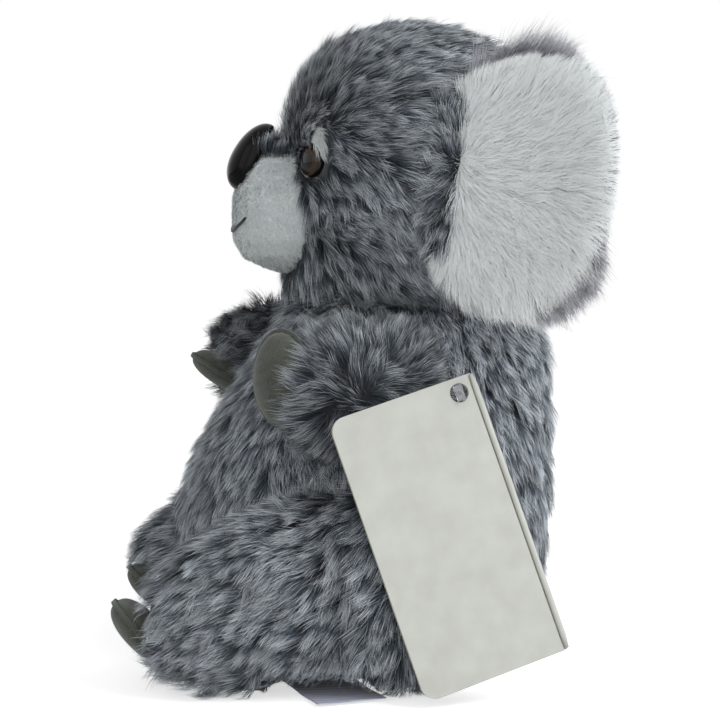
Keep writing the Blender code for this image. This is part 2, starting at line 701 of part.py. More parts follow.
def head_around_ear(name, place, angle):
    """The head as the ear meets it when it is folded by an angle about its root seam."""
    turned = head_mesh(name, SEAM_GAP)
    turned.transform(place @ Matrix.Rotation(-angle, 4, "Z") @ place.inverted())
    return new_object(name, turned)


def make_ear(word, side):
    """One ear: a white lining, a grey back with the rolled root, and the groove for it in the head.

    Both cloths are trimmed by the head as it stands at rest and at both ends of the fold.
    """
    place = ear_place(side)
    pivot = place.translation
    half = EAR_ROOT_HALF_LENGTH
    low, high = place @ Vector((0, 0, -half)), place @ Vector((0, 0, half))
    back = ear_shell("ear_back_" + word, place, SEAM_GAP / 2, EAR_BACK_PUFF, 1)
    back = new_object("ear_back_" + word, back, GREY_PLUSH, pivot)
    folds = {"rest": 0, "back": EAR_FOLD_BACK, "forward": -EAR_FOLD_FORWARD}
    heads = [head_around_ear("_".join(("head", fold, word)), place, angle) for fold, angle in folds.items()]
    cut(back, *heads)
    root_name = "ear_root_" + word
    join(back, new_object(root_name, rod_mesh(root_name, low, high, EAR_ROOT_RADIUS, SMALL_ROUND)))
    lining = ear_shell("ear_lining_" + word, place, SEAM_GAP / 2, EAR_LINING_PUFF, -1)
    lining = new_object("ear_lining_" + word, lining, WHITE_PLUSH, pivot)
    low = place @ Vector((0, 0, -half - SEAM_GAP))
    high = place @ Vector((0, 0, half + SEAM_GAP))
    groove_name = "ear_groove_" + word
    groove = rod_mesh(groove_name, low, high, EAR_ROOT_RADIUS + SEAM_GAP, SMALL_ROUND)
    groove = new_object(groove_name, groove)
    cut(lining, groove, *heads)
    return groove


def make_head():
    """The head with everything sewn or locked into it."""
    head = new_object("head", head_mesh("head"), GREY_PLUSH, NECK_PIVOT)
    head_form = new_object("head_form", head_mesh("head_form", SEAM_GAP))
    muzzle = new_object("muzzle", muzzle_mesh("muzzle"), WHITE_PLUSH, NECK_PIVOT)
    nose_recess = make_nose()
    pocket = turned_mesh("nose_pocket", pocket_profile(NOSE_STEM_LENGTH, CUT_OVERRUN), SMALL_ROUND, nose_place())
    nose_pocket = new_object("nose_pocket", pocket)
    make_washer("nose_washer", nose_place(), NOSE_STEM_LENGTH)
    cut(muzzle, head_form, nose_recess, nose_pocket)
    cut(head, nose_recess, nose_pocket)
    for word, side in SIDES.items():
        cut(head, make_eye(word, side, head_form, muzzle), make_ear(word, side))


def make_mouth():
    """The mouth: one stitched thread that lies on the muzzle and sags in the middle."""
    curve = bpy.data.curves.new("mouth_stitch", "CURVE")
    curve.dimensions = "3D"
    curve.bevel_depth = MOUTH_THREAD_RADIUS
    curve.bevel_resolution = 2
    curve.use_fill_caps = True
    line = curve.splines.new("POLY")
    line.points.add(MOUTH_POINTS - 1)
    for index, point in enumerate(line.points):
        share = 2 * index / (MOUTH_POINTS - 1) - 1
        x = MOUTH_HALF_WIDTH * share
        z = MOUTH_Z - MOUTH_SAG * (1 - share ** 2)
        y = muzzle_front(x, z) - MOUTH_THREAD_RADIUS - 2 * SEAM_GAP
        point.co = (x, y - NECK_Y, z - HEAD_BASE_Z, 1)
    thread = bpy.data.objects.new("mouth_stitch", curve)
    thread.location = NECK_PIVOT
    curve.materials.append(DARK_THREAD)
    bpy.context.scene.collection.objects.link(thread)


def felt_lobe(name, place, half_length, half_width, half_thickness):
    """A stuffed felt lobe: two domed shells that meet in a thin raw edge. Its length is along local Z."""
    def shell(way):
        rings = [(1 + FELT_EDGE / half_length, 1 + FELT_EDGE / half_width, way * FELT_EDGE_HALF_THICKNESS),
                 (1, 1, way * FELT_EDGE_HALF_THICKNESS)]
        for step in range(1, LOBE_RINGS + 1):
            angle = math.pi / 2 * step / (LOBE_RINGS + 1)
            rings.append((math.cos(angle), math.cos(angle), way * half_thickness * math.sin(angle)))
        return rings
    stack = []
    for tall, wide, depth in shell(-1)[::-1] + shell(1):
        ring = []
        for index in range(LOBE_ROUND):
            angle = 2 * math.pi * index / LOBE_ROUND
            across, up = math.cos(angle) * half_width * wide, math.sin(angle) * half_length * tall
            ring.append(place @ Vector((across, depth, up)))
        stack.append(ring)
    return skin_rings(name, stack)


def upright_root(name, centre, height, radius, table, grow=0.0):
    """A limb's root, round about its upright hinge so that it turns in its seat."""
    return upright_mesh(name, centre, height, radius, radius, radius, table, 2, LIMB_ROUND, LIMB_RINGS, grow)


def make_limb(name, pivot, root, tube, seat_form, body_form):
    """Join a limb's round root and the part of its tube that the body leaves free."""
    limb = new_object(name, root, GREY_PLUSH, pivot)
    tube = new_object(name + "_tube", tube)
    cut(tube, body_form)
    join(limb, tube)
    return limb, new_object(name + "_seat", seat_form)


def make_arm(word, side, reach, body_form):
    """One arm with its felt paw. Returns the seat that its shoulder needs in the body."""
    turn, pitch, overlap, drop = PAW_SETS[word]
    hand_drop = HAND_DROPS[word]
    base = (side * SHOULDER_X, SHOULDER_Y, SHOULDER_Z)
    middle_z = SHOULDER_Z + SHOULDER_HEIGHT / 2
    elbow_z = middle_z - ARM_BEND_SHARE * hand_drop
    route = [Vector((side * SHOULDER_X, SHOULDER_Y, middle_z)),
             Vector((side * (SHOULDER_X + ARM_OUT), SHOULDER_Y - reach / 2, elbow_z)),
             Vector((side * (SHOULDER_X - HAND_IN), SHOULDER_Y - reach, middle_z - hand_drop))]
    root = upright_root("arm_" + word, base, SHOULDER_HEIGHT, SHOULDER_RADIUS, SHOULDER_SHARES)
    seat = upright_root("arm_seat_" + word, base, SHOULDER_HEIGHT, SHOULDER_RADIUS, SHOULDER_SHARES, TURN_GAP)
    tube = swept_mesh("arm_tube_" + word, route, ARM_HALF_WIDTH, ARM_HALF_HEIGHT, ARM_SHARES,
                      LIMB_ROUND, LIMB_RINGS)
    arm, seat = make_limb("arm_" + word, base, root, tube, seat, body_form)
    normal = Vector((side * math.sin(turn), -math.cos(turn), 0))
    tip = route[-1] + normal * (PAW_HALF_THICKNESS - overlap) - Vector((0, 0, drop))
    place = Matrix.Translation(tip) @ Matrix.Rotation(side * turn, 4, "Z") @ Matrix.Rotation(pitch, 4, "X")
    lobe_size = (PAW_HALF_LENGTH, PAW_HALF_WIDTH, PAW_HALF_THICKNESS)
    paw = felt_lobe("paw_" + word, place, *lobe_size)
    new_object("paw_" + word, paw, FELT, base)
    bed = felt_lobe("paw_bed_" + word, place, *(size + SEAM_GAP for size in lobe_size))
    cut(arm, new_object("paw_bed_" + word, bed))
    return seat


def make_leg(word, side, reach, body_form):
    """One leg with its felt foot, flat where it stands. Returns its seat in the body and the leg."""
    base = (side * HIP_X, HIP_Y, -FLOOR_SINK)
    rises = [SHIN_HALF_HEIGHT * share - FLOOR_SINK for share in LEG_RISES[word]]
    route = [Vector((side * HIP_X, HIP_Y, rises[0])),
             Vector((side * (HIP_X + LEG_OUT), HIP_Y - reach / 2, rises[1])),
             Vector((side * (HIP_X - FOOT_IN), HIP_Y - reach, rises[2]))]
    root = upright_root("leg_" + word, base, HIP_HEIGHT, HIP_RADIUS, THIGH_SHARES)
    seat = upright_root("leg_seat_" + word, base, HIP_HEIGHT, HIP_RADIUS, THIGH_SHARES, TURN_GAP)
    tube = swept_mesh("leg_tube_" + word, route, SHIN_HALF_WIDTH, SHIN_HALF_HEIGHT, LEG_SHARES[word],
                      LIMB_ROUND, LIMB_RINGS)
    leg, seat = make_limb("leg_" + word, base, root, tube, seat, body_form)
    forward, overlap, lift = FOOT_SETS[word]
    tip = route[-1] + Vector((0, overlap - FOOT_HALF_THICKNESS, lift))
    place = Matrix.Translation(tip) @ Matrix.Rotation(forward, 4, "X")
    lobe_size = (FOOT_HALF_LENGTH, FOOT_HALF_WIDTH, FOOT_HALF_THICKNESS)
    foot = new_object("foot_" + word, felt_lobe("foot_" + word, place, *lobe_size), FELT, base)
    bed = felt_lobe("foot_bed_" + word, place, *(size + SEAM_GAP for size in lobe_size))
    cut(leg, new_object("foot_bed_" + word, bed), FLOOR_CUTTER)
    cut(foot, FLOOR_CUTTER)
    return seat, leg


def tag_place():
    """The tag's frame at its hole: X across to the fold, Y up the card, Z out of the front leaf."""
    level = frame_at(TAG_HOLE, (0, 1, 0), TAG_NORMAL)
    return level @ Matrix.Rotation(TAG_LEAN, 4, "Z")


def leaf_mesh(name, low_z, inner_edge, place):
    """One leaf of the card: square at the fold, round at the free corners, with its punched hole."""
    fold = TAG_HOLE_IN - inner_edge
    free = fold + inner_edge - TAG_WIDTH
    top, bottom = TAG_HOLE_DOWN, TAG_HOLE_DOWN - TAG_LENGTH
    outline = [(fold, bottom), (fold, top)]
    for centre_y, start in ((top - TAG_CORNER, math.pi / 2), (bottom + TAG_CORNER, math.pi)):
        for step in range(SMALL_RINGS + 1):
            angle = start + math.pi / 2 * step / SMALL_RINGS
            across = free + TAG_CORNER + TAG_CORNER * math.cos(angle)
            outline.append((across, centre_y + TAG_CORNER * math.sin(angle)))
    form = bmesh.new()
    loop = [form.verts.new(place @ Vector((x, y, low_z))) for x, y in outline]
    sheet = form.faces.new(loop)
    raised = bmesh.ops.extrude_face_region(form, geom=[sheet])["geom"]
    lift = place.to_3x3() @ Vector((0, 0, TAG_CARD))
    bmesh.ops.translate(form, verts=[item for item in raised if isinstance(item, bmesh.types.BMVert)], vec=lift)
    bmesh.ops.recalc_face_normals(form, faces=form.faces)
    mesh = bpy.data.meshes.new(name)
    form.to_mesh(mesh)
    form.free()
    return mesh


def make_tag(body):
    """The folded card, hung on a clear pin that is anchored in the body's left flank."""
    place = tag_place()
    half_gap = TAG_LEAF_GAP / 2
    leaf_back = half_gap + TAG_CARD
    spine_radius = leaf_back + TAG_FOLD_SWELL
    fold_point = place @ Vector((TAG_HOLE_IN, 0, 0))
    rear = new_object("tag_back_leaf", leaf_mesh("tag_back_leaf", -leaf_back, 0, place), CARD, TAG_HOLE)
    front_mesh = leaf_mesh("tag_front_leaf", half_gap, spine_radius + SEAM_GAP, place)
    front = new_object("tag_front_leaf", front_mesh, CARD, fold_point)
    top = place @ Vector((TAG_HOLE_IN, TAG_HOLE_DOWN - SEAM_GAP, 0))
    bottom = place @ Vector((TAG_HOLE_IN, TAG_HOLE_DOWN - TAG_LENGTH + SEAM_GAP, 0))
    join(rear, new_object("tag_fold", rod_mesh("tag_fold", bottom, top, spine_radius)))
    punch = rod_mesh("tag_punch", place @ Vector((0, 0, -CUT_OVERRUN)), place @ Vector((0, 0, CUT_OVERRUN)),
                     TAG_HOLE_RADIUS, SMALL_ROUND)
    punch = new_object("tag_punch", punch)
    cut(rear, punch)
    cut(front, punch)

    def along(distance):
        return TAG_HOLE + TAG_NORMAL * distance

    pin_end = half_gap + TAG_CARD + SEAM_GAP
    pin = new_object("tag_pin", rod_mesh("tag_pin", along(-PIN_BURIED), along(pin_end), PIN_RADIUS), CLEAR_NYLON)
    bar_half = Vector((0, 0, PIN_BAR_HALF_LENGTH))
    anchor = along(-PIN_BURIED)
    join(pin, new_object("pin_bar", rod_mesh("pin_bar", anchor - bar_half, anchor + bar_half, PIN_BAR_RADIUS)))
    tall = TAG_HOLE_RADIUS - PIN_PADDLE_CLEARANCE
    wide = tall * PIN_PADDLE_WIDTH_SHARE
    low, high = (-wide, -tall, pin_end - PIN_PADDLE_THICKNESS), (wide, tall, pin_end + PIN_RADIUS)
    join(pin, new_object("pin_paddle", box_mesh("pin_paddle", low, high, place)))
    bore_radius = PIN_RADIUS + PIN_BORE_CLEARANCE
    bore = new_object("pin_bore", rod_mesh("pin_bore", anchor, along(CUT_OVERRUN), bore_radius))
    room = bar_half + Vector((0, 0, PIN_BORE_CLEARANCE))
    slot = rod_mesh("pin_slot", anchor - room, anchor + room, PIN_BAR_RADIUS + PIN_BORE_CLEARANCE)
    cut(body, new_object("pin_slot", slot), bore)


def make_label(*pressed):
    """The satin label: a short ribbon that lies on the floor, pressed flat under the pieces given."""
    place = Matrix.Translation((LABEL_INNER_X, LABEL_CENTRE_Y, LABEL_RISE)) @ Matrix.Rotation(LABEL_TURN, 4, "Z")
    half = LABEL_WIDTH / 2
    pivot = (HIP_X, HIP_Y, -FLOOR_SINK)
    label = box_mesh("sewn_label", (0, -half, 0), (LABEL_LENGTH, half, LABEL_THICKNESS), place)
    new_object("sewn_label", label, SATIN, pivot)
    room_low = (-SEAM_GAP, -half - SEAM_GAP, -CUT_OVERRUN)
    room_high = (LABEL_LENGTH + CUT_OVERRUN, half + SEAM_GAP, LABEL_THICKNESS + SEAM_GAP)
    room = new_object("label_room", box_mesh("label_room", room_low, room_high, place))
    for piece in pressed:
        cut(piece, room)


koala_body = make_body()
koala_form = new_object("body_form", body_mesh("body_form", SEAM_GAP))
make_head()
make_mouth()
arm_reaches = {"left": LEFT_ARM_REACH, "right": RIGHT_ARM_REACH}
leg_reaches = {"left": LEFT_LEG_REACH, "right": RIGHT_LEG_REACH}
for side_word, side_way in SIDES.items():
    arm_seat = make_arm(side_word, side_way, arm_reaches[side_word], koala_form)
    leg_seat, koala_leg = make_leg(side_word, side_way, leg_reaches[side_word], koala_form)
    cut(koala_body, arm_seat, leg_seat)
    if side_word == "left":
        make_label(koala_leg, koala_body)
make_tag(koala_body)
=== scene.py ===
# %% [markdown]
# # A seated plush koala
# The model comes in as solids that stop about 3 mm inside the outline of the fur. Here each stuffed
# solid gets a smooth skin and a coat of separate strands, and the felt, the plastic, the card and the
# ribbon are made again with finer forms. Nothing is painted from pictures: every finish is made of nodes.

# %% The frame
import math

import bmesh
import bpy
import numpy as np
from mathutils import Matrix, Vector
from mathutils.bvhtree import BVHTree
from mathutils.kdtree import KDTree


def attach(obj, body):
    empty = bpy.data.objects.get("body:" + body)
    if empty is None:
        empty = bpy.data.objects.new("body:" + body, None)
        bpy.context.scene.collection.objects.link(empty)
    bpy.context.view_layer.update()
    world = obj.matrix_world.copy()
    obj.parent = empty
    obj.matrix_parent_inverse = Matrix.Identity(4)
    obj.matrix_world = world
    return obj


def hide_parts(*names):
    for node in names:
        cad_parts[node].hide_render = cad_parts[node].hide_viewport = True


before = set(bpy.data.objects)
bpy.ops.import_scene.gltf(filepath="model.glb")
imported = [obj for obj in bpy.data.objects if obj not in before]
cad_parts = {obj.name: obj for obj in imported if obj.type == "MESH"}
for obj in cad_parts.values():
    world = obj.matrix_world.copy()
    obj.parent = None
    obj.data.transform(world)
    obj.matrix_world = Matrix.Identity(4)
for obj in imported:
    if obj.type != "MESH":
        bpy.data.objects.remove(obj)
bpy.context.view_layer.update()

MM = 0.001
SIDES = {"left": 1, "right": -1}

# %% [markdown]
# ## The camera
# The picture was taken from the koala's left side, a little in front of it and a little above it. The
# distance and the lens were worked out from the hang tag, the one flat rectangle in view. The camera
# comes first so that everything after it can be judged in its frame.

# %% The camera
AIM = Vector((0, -1.8, 85)) * MM
AZIMUTH, ELEVATION, DISTANCE = math.radians(80), math.radians(3.5), 520 * MM
SENSOR_WIDTH, FOCAL_PIXELS, PICTURE_PIXELS = 36, 1768, 720
level = math.cos(ELEVATION)
back = Vector((math.sin(AZIMUTH) * level, -math.cos(AZIMUTH) * level, math.sin(ELEVATION)))
camera = bpy.data.objects.new("camera", bpy.data.cameras.new("camera"))
camera.location = AIM + back * DISTANCE
camera.rotation_mode = "QUATERNION"
camera.rotation_quaternion = (-back).to_track_quat("-Z", "Y")
camera.data.sensor_width = SENSOR_WIDTH
camera.data.lens = SENSOR_WIDTH * FOCAL_PIXELS / PICTURE_PIXELS
camera.data.clip_start, camera.data.clip_end = 0.01, 50
bpy.context.scene.collection.objects.link(camera)
bpy.context.scene.camera = camera
print("lens in mm:", round(camera.data.lens, 1))

# %% [markdown]
# ## Colours and nodes
# Colours are written as the hex values that a screen shows. A renderer works with light, so one function
# turns them to linear values. A second one adds a node with its settings and links.

# %% Helpers for finishes
def linear(code):
    """Turn a hex value as a screen shows it into linear red, green and blue."""
    shares = [int(code[at:at + 2], 16) / 255 for at in (1, 3, 5)]
    return tuple(c / 12.92 if c <= 0.04045 else ((c + 0.055) / 1.055) ** 2.4 for c in shares) + (1.0,)


def add(finish, kind, settings=None, links=None):
    """Add a node, give it its settings and feed its sockets."""
    node = finish.node_tree.nodes.new("ShaderNode" + kind)
    for name, value in (settings or {}).items():
        if isinstance(name, int) or name in node.inputs:
            node.inputs[name].default_value = value
        else:
            setattr(node, name, value)
    for name, source in (links or {}).items():
        finish.node_tree.links.new(source, node.inputs[name])
    return node


def new_finish(name, settings):
    """A Principled finish with constants on its own sockets. Returns it with its shader."""
    finish = bpy.data.materials.new(name)
    finish.use_nodes = True
    shader = finish.node_tree.nodes["Principled BSDF"]
    for socket, value in settings.items():
        shader.inputs[socket].default_value = value
    return finish, shader


def feed(finish, shader, socket, output):
    """Link an output to one of the shader's sockets."""
    finish.node_tree.links.new(output, shader.inputs[socket])


print("middle grey:", [round(c, 3) for c in linear("#808080")])

# %% [markdown]
# ## Pile
# Plush is a knitted backing with long acrylic fibres. This one is frosted: charcoal at the root and pale at
# the tip. Each strand carries two numbers in its UV map, how light it is and how far along it a point lies,
# and the colour is made from those two alone. So dark roots show in the partings and pale tips on the locks.

# %% Pile finishes
def pile_finish(name, root, middle, tip, bend, shades, sheen):
    """Frosted fibre: root to middle up to the bend, then to the tip, times the strand's own shade."""
    finish, shader = new_finish(name, {"Roughness": 0.62, "Specular IOR Level": 0.3, "Sheen Weight": sheen,
                                       "Sheen Roughness": 0.5})
    place = add(finish, "UVMap", {"uv_map": "OFBake"})
    split = add(finish, "SeparateXYZ", None, {0: place.outputs[0]})
    lower = add(finish, "MapRange", {"From Min": 0.08, "From Max": bend}, {"Value": split.outputs["Y"]})
    upper = add(finish, "MapRange", {"From Min": bend, "From Max": 1.0}, {"Value": split.outputs["Y"]})
    low = add(finish, "Mix", {"data_type": "RGBA", 6: linear(root), 7: linear(middle)}, {0: lower.outputs[0]})
    high = add(finish, "Mix", {"data_type": "RGBA", 7: linear(tip)}, {0: upper.outputs[0], 6: low.outputs[2]})
    shade = add(finish, "MapRange", {"To Min": shades[0], "To Max": shades[1]}, {"Value": split.outputs["X"]})
    tinted = add(finish, "Mix", {"data_type": "RGBA", "blend_type": "MULTIPLY", 0: 1.0},
                 {6: high.outputs[2], 7: shade.outputs[0]})
    feed(finish, shader, "Base Color", tinted.outputs[2])
    return finish


GREY_PILE = pile_finish("frosted_acrylic_pile", "#161a20", "#4c5660", "#e3eaf0", 0.56, (0.28, 1.66), 0.12)
WHITE_PILE = pile_finish("white_acrylic_pile", "#eef2f3", "#f6fafa", "#fbfefe", 0.45, (0.96, 1.03), 0.10)
FACE_PILE = pile_finish("short_white_pile", "#c4cacb", "#d5dbdb", "#dfe5e5", 0.45, (0.94, 1.03), 0.10)
print("pile finishes:", GREY_PILE.name, WHITE_PILE.name, FACE_PILE.name)

# %% [markdown]
# ## Backings, felt and thread
# Between the strands the knitted backing shows. It is a fine, uneven cloth with no gloss. Felt is made of
# fibres pressed flat in all directions, so its noise has no grain. Cloth also varies slowly from place to
# place, here in patches of 14 fibres' width.

# %% Cloth finishes
FIBRES_IN_A_PATCH = 14


def cloth_finish(name, dark, light, fibre_mm, height_mm, roughness, sheen):
    """Matt cloth: two shades mixed by noise of one fibre's size, with a bump of the same noise."""
    finish, shader = new_finish(name, {"Roughness": roughness, "Specular IOR Level": 0.2,
                                       "Sheen Weight": sheen, "Sheen Roughness": 0.6})
    place = add(finish, "TexCoord")
    fine = add(finish, "TexNoise", {"Scale": 1 / (fibre_mm * MM), "Detail": 4.0, "Roughness": 0.65},
               {"Vector": place.outputs["Object"]})
    broad = add(finish, "TexNoise", {"Scale": 1 / (fibre_mm * FIBRES_IN_A_PATCH * MM), "Detail": 2.0},
                {"Vector": place.outputs["Object"]})
    both = add(finish, "Math", {"operation": "ADD"}, {0: fine.outputs[0], 1: broad.outputs[0]})
    spread = add(finish, "MapRange", {"From Min": 0.7, "From Max": 1.3}, {"Value": both.outputs[0]})
    mixed = add(finish, "Mix", {"data_type": "RGBA", 6: linear(dark), 7: linear(light)},
                {0: spread.outputs[0]})
    bump = add(finish, "Bump", {"Strength": 0.8, "Distance": height_mm * MM}, {"Height": fine.outputs[0]})
    feed(finish, shader, "Base Color", mixed.outputs[2])
    feed(finish, shader, "Normal", bump.outputs[0])
    return finish


GREY_BACKING = cloth_finish("knitted_dark_backing", "#1a1e23", "#31363d", 0.7, 0.20, 0.95, 0.2)
WHITE_BACKING = cloth_finish("knitted_white_backing", "#d9dfe0", "#e8eded", 0.7, 0.15, 0.95, 0.2)
SEAT_CLOTH = cloth_finish("brushed_tricot", "#1d1f23", "#3b3e45", 0.5, 0.10, 0.9, 0.3)
FELT = cloth_finish("pressed_wool_felt", "#282d26", "#4f544a", 0.60, 0.26, 0.97, 0.30)
BAG_CLOTH = cloth_finish("unbleached_cotton", "#a39e8f", "#c9c5b8", 0.5, 0.10, 0.9, 0.2)
THREAD = cloth_finish("spun_polyester_thread", "#101013", "#2a2b30", 0.2, 0.05, 0.7, 0.2)
FELT_THREAD = cloth_finish("spun_green_thread", "#272a22", "#3f4237", 0.2, 0.05, 0.7, 0.2)
print("cloth finishes:", GREY_BACKING.name, WHITE_BACKING.name, SEAT_CLOTH.name, FELT.name, THREAD.name)

# %% [markdown]
# ## Skins
# A stuffed form comes in as flat facets. Remeshed in even faces and relaxed, it becomes the smooth skin of
# a filled bag, a little soft where it was cut by its neighbours. Subdividing the facets instead would keep
# the long thin triangles that the cuts left.

# %% Helpers for pieces
def link(piece):
    """Put an object in the scene."""
    bpy.context.scene.collection.objects.link(piece)
    return piece


def dress(piece, finish):
    """Give a piece one finish."""
    piece.data.materials.clear()
    piece.data.materials.append(finish)
    return piece


def put(piece, body, slot, *nodes):
    """Let a piece ride on its body, in place of the solids named. Its slot is not used."""
    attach(piece, body)
    if nodes:
        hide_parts(*nodes)
    return piece


def made_final(piece):
    """Turn a piece's modifiers into its mesh."""
    seen = piece.evaluated_get(bpy.context.evaluated_depsgraph_get())
    mesh = bpy.data.meshes.new_from_object(seen)
    piece.modifiers.clear()
    piece.data = mesh
    return piece


def ramp(value, zero_at, one_at):
    """How far a value has gone from one place to another, as a share from 0 to 1."""
    return np.clip((value - zero_at) / (one_at - zero_at), 0, 1)


print("half way from 10 to 20:", ramp(15, 10, 20))


def plush_skin(node, body, slot, finish, voxel_mm, passes):
    """The smooth skin of one stuffed solid."""
    piece = link(bpy.data.objects.new(node + "_skin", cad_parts[node].data.copy()))
    even = piece.modifiers.new("even_faces", "REMESH")
    even.mode, even.voxel_size, even.use_smooth_shade = "VOXEL", voxel_mm * MM, True
    relaxed = piece.modifiers.new("relaxed", "SMOOTH")
    relaxed.factor, relaxed.iterations = 0.5, passes
    dress(made_final(piece), finish)
    put(piece, body, slot, node)
    return piece


skins = {
    "body": plush_skin("body", "torso", "grey_plush", GREY_BACKING, 1.3, 8),
    "head": plush_skin("head", "head", "grey_plush", GREY_BACKING, 1.3, 8),
    "muzzle": plush_skin("muzzle", "head", "white_plush", WHITE_BACKING, 0.8, 6),
}
for word in SIDES:
    for node in ("arm_" + word, "leg_" + word):
        skins[node] = plush_skin(node, node, "grey_plush", GREY_BACKING, 1.1, 7)
    for node, body, slot, finish, voxel_mm, passes in (
            ("ear_back_" + word, "ear_" + word, "grey_plush", GREY_BACKING, 0.7, 4),
            ("ear_lining_" + word, "ear_" + word, "white_plush", WHITE_BACKING, 0.6, 4),
            ("eye_patch_" + word, "head", "white_plush", WHITE_BACKING, 0.45, 3)):
        skins[node] = plush_skin(node, body, slot, finish, voxel_mm, passes)
print("skins:", {name: len(skin.data.polygons) for name, skin in skins.items()})

# %% [markdown]
# The ribbon label lies on the floor under the left thigh, and the real thigh rests on it. So the thigh's
# skin is drawn up over it, from a little in front of the label to a little behind it.

# %% Room for the label
def draw_up_over_label(skin, height_mm):
    """Raise the underside of the left thigh over the label."""
    for vert in skin.data.vertices:
        x, y, _ = vert.co / MM
        over = ramp(x, 40, 48) * ramp(y, -38, -33) * ramp(y, -5, -10)
        vert.co.z = max(vert.co.z, height_mm * MM * over)


draw_up_over_label(skins["leg_left"], 5.0)
print("the left leg's skin has", len(skins["leg_left"].data.vertices), "points")

# %% [markdown]
# ## Combing
# A strand starts on the skin, leaves it at an angle and bends over the way the pile is combed. The way is
# a rule for each part: away from the nose on the head, down on the body, out from the root on an ear. The
# rules work on whole arrays of points, in millimetres.

# %% The way the pile lies on head and body
DOWN = np.array([0.0, 0.0, -1.0])


def unit(vectors):
    """Scale each row to a length of one."""
    return vectors / np.maximum(np.linalg.norm(vectors, axis=1, keepdims=True), 1e-9)


def comb_head(places, normals):
    """Away from the bridge of the nose, and down once the fur has passed the crown."""
    bridge, droop = np.array([0, -34, 142.0]), 0.60
    away = unit(places - bridge)
    away[:, 2] -= droop * ramp(places[:, 2], 162, 132)
    return away


def comb_muzzle(places, normals):
    """Away from the nose, down and back."""
    nose_middle, droop = np.array([0, -40, 144.0]), 0.3
    away = unit(places - nose_middle)
    away[:, 2] -= droop
    return away


def comb_patch(places, normals):
    """Down behind the eye, a little back."""
    side = np.sign(places[:, 0])
    return np.stack([0.35 * side, np.full(len(places), 0.35), np.full(len(places), -0.8)], 1)


def comb_body(places, normals):
    """Down all round, and a little outward."""
    outward = 0.25
    down = np.tile(DOWN, (len(places), 1))
    return down + outward * unit(places * np.array([1.0, 1.0, 0.0]))


print("at the crown the pile lies", np.round(comb_head(np.array([[0, 0, 180.0]]), None)[0], 2).tolist())

# %% The way it lies on arms and legs
def comb_arm(places, normals):
    """Out from a crown on the outer side of the arm, where it has no clear way, and a little down."""
    crown, crown_radius = np.array([math.copysign(58.0, places[0, 0]), -11.0, 77.0]), 11.0
    strength, drift = 1.35, np.array([0.0, -0.05, -0.15])
    away = places - crown
    far = np.linalg.norm(away, axis=1, keepdims=True)
    return away / (far + crown_radius) * strength + drift


def comb_leg(places, normals):
    """Down on the thigh, and forward along the shin."""
    forward, down, down_lost = np.array([0.0, -0.95, -0.10]), np.array([0.0, -0.15, -1.0]), 0.6
    on_shin = ramp(places[:, 1], 2, -30)[:, None]
    return on_shin * forward + (1 - down_lost * on_shin) * down


print("on the thigh the pile lies", comb_leg(np.array([[45.0, 10.0, 40.0]]), None)[0].tolist())

# %% The way it lies on an ear
EAR_ROOT = (40.0, 15.0, 137.3)
EAR_SPREAD, EAR_LEAN_BACK, EAR_LEAN_IN = math.radians(46), math.radians(8), math.radians(6)


def ear_frame(side):
    """An ear's own frame in millimetres: X out along the ear, Y to its back, Z up its root seam."""
    lean = Matrix.Rotation(-EAR_LEAN_BACK, 3, "X") @ Matrix.Rotation(-side * EAR_LEAN_IN, 3, "Y")
    up = lean @ Vector((0, 0, 1))
    out = lean @ Vector((side * math.cos(EAR_SPREAD), math.sin(EAR_SPREAD), 0))
    return np.array([out, up.cross(out) * side, up]), np.array(EAR_ROOT) * np.array([side, 1, 1])


def comb_ear(side):
    """Out to the rim of the ear, up over its upper half and down over its lower half.

    Next to the root it lies back over the seam, and it turns outward within some 7 mm.
    """
    axes, root = ear_frame(side)
    turn_at, turn_width, middle_height, fan_height = 6, 7, 2, 24

    def ways(places, normals):
        local = (places - root) @ axes.T
        out = 0.80 * np.tanh((local[:, 0] - turn_at) / turn_width) + 0.20
        fan = (local[:, 2] - middle_height) / fan_height
        return np.stack([out, np.zeros(len(local)), fan], 1) @ axes
    return ways


print("the left ear points to", np.round(ear_frame(1)[0][0], 2).tolist())

# %% [markdown]
# ## Roots
# Roots are spread evenly over a skin. Pile that would start inside another piece, or right under one, is
# left out. So is pile in a fold of its own skin, where nothing would show but a tangle.

# %% Roots spread over a skin
def arrays_of(piece):
    """A piece's points, their normals and its triangles, as arrays."""
    mesh = piece.data
    mesh.calc_loop_triangles()
    points = np.empty(len(mesh.vertices) * 3, np.float32)
    mesh.vertices.foreach_get("co", points)
    normals = np.empty(len(mesh.vertices) * 3, np.float32)
    mesh.vertex_normals.foreach_get("vector", normals)
    corners = np.empty(len(mesh.loop_triangles) * 3, np.int32)
    mesh.loop_triangles.foreach_get("vertices", corners)
    return points.reshape(-1, 3).astype(float), normals.reshape(-1, 3).astype(float), corners.reshape(-1, 3)


def spread_roots(arrays, per_mm2, rng):
    """Points spread evenly over the triangles, their smooth normals and the whole area in mm2."""
    points, normals, corners = arrays
    a, b, c = (points[corners[:, index]] for index in range(3))
    area = np.linalg.norm(np.cross(b - a, c - a), axis=1) / 2
    count = int(area.sum() / MM ** 2 * per_mm2)
    marks = (np.arange(count) + rng.random(count)) / count * area.sum()
    pick = np.minimum(np.searchsorted(np.cumsum(area), marks), len(area) - 1)
    u, v = rng.random(count), rng.random(count)
    over = u + v > 1
    u[over], v[over] = 1 - u[over], 1 - v[over]
    shares = np.stack([1 - u - v, u, v], 1)[:, :, None]
    roots = (points[corners[pick]] * shares).sum(1)
    return roots, unit((normals[corners[pick]] * shares).sum(1)), area.sum() / MM ** 2


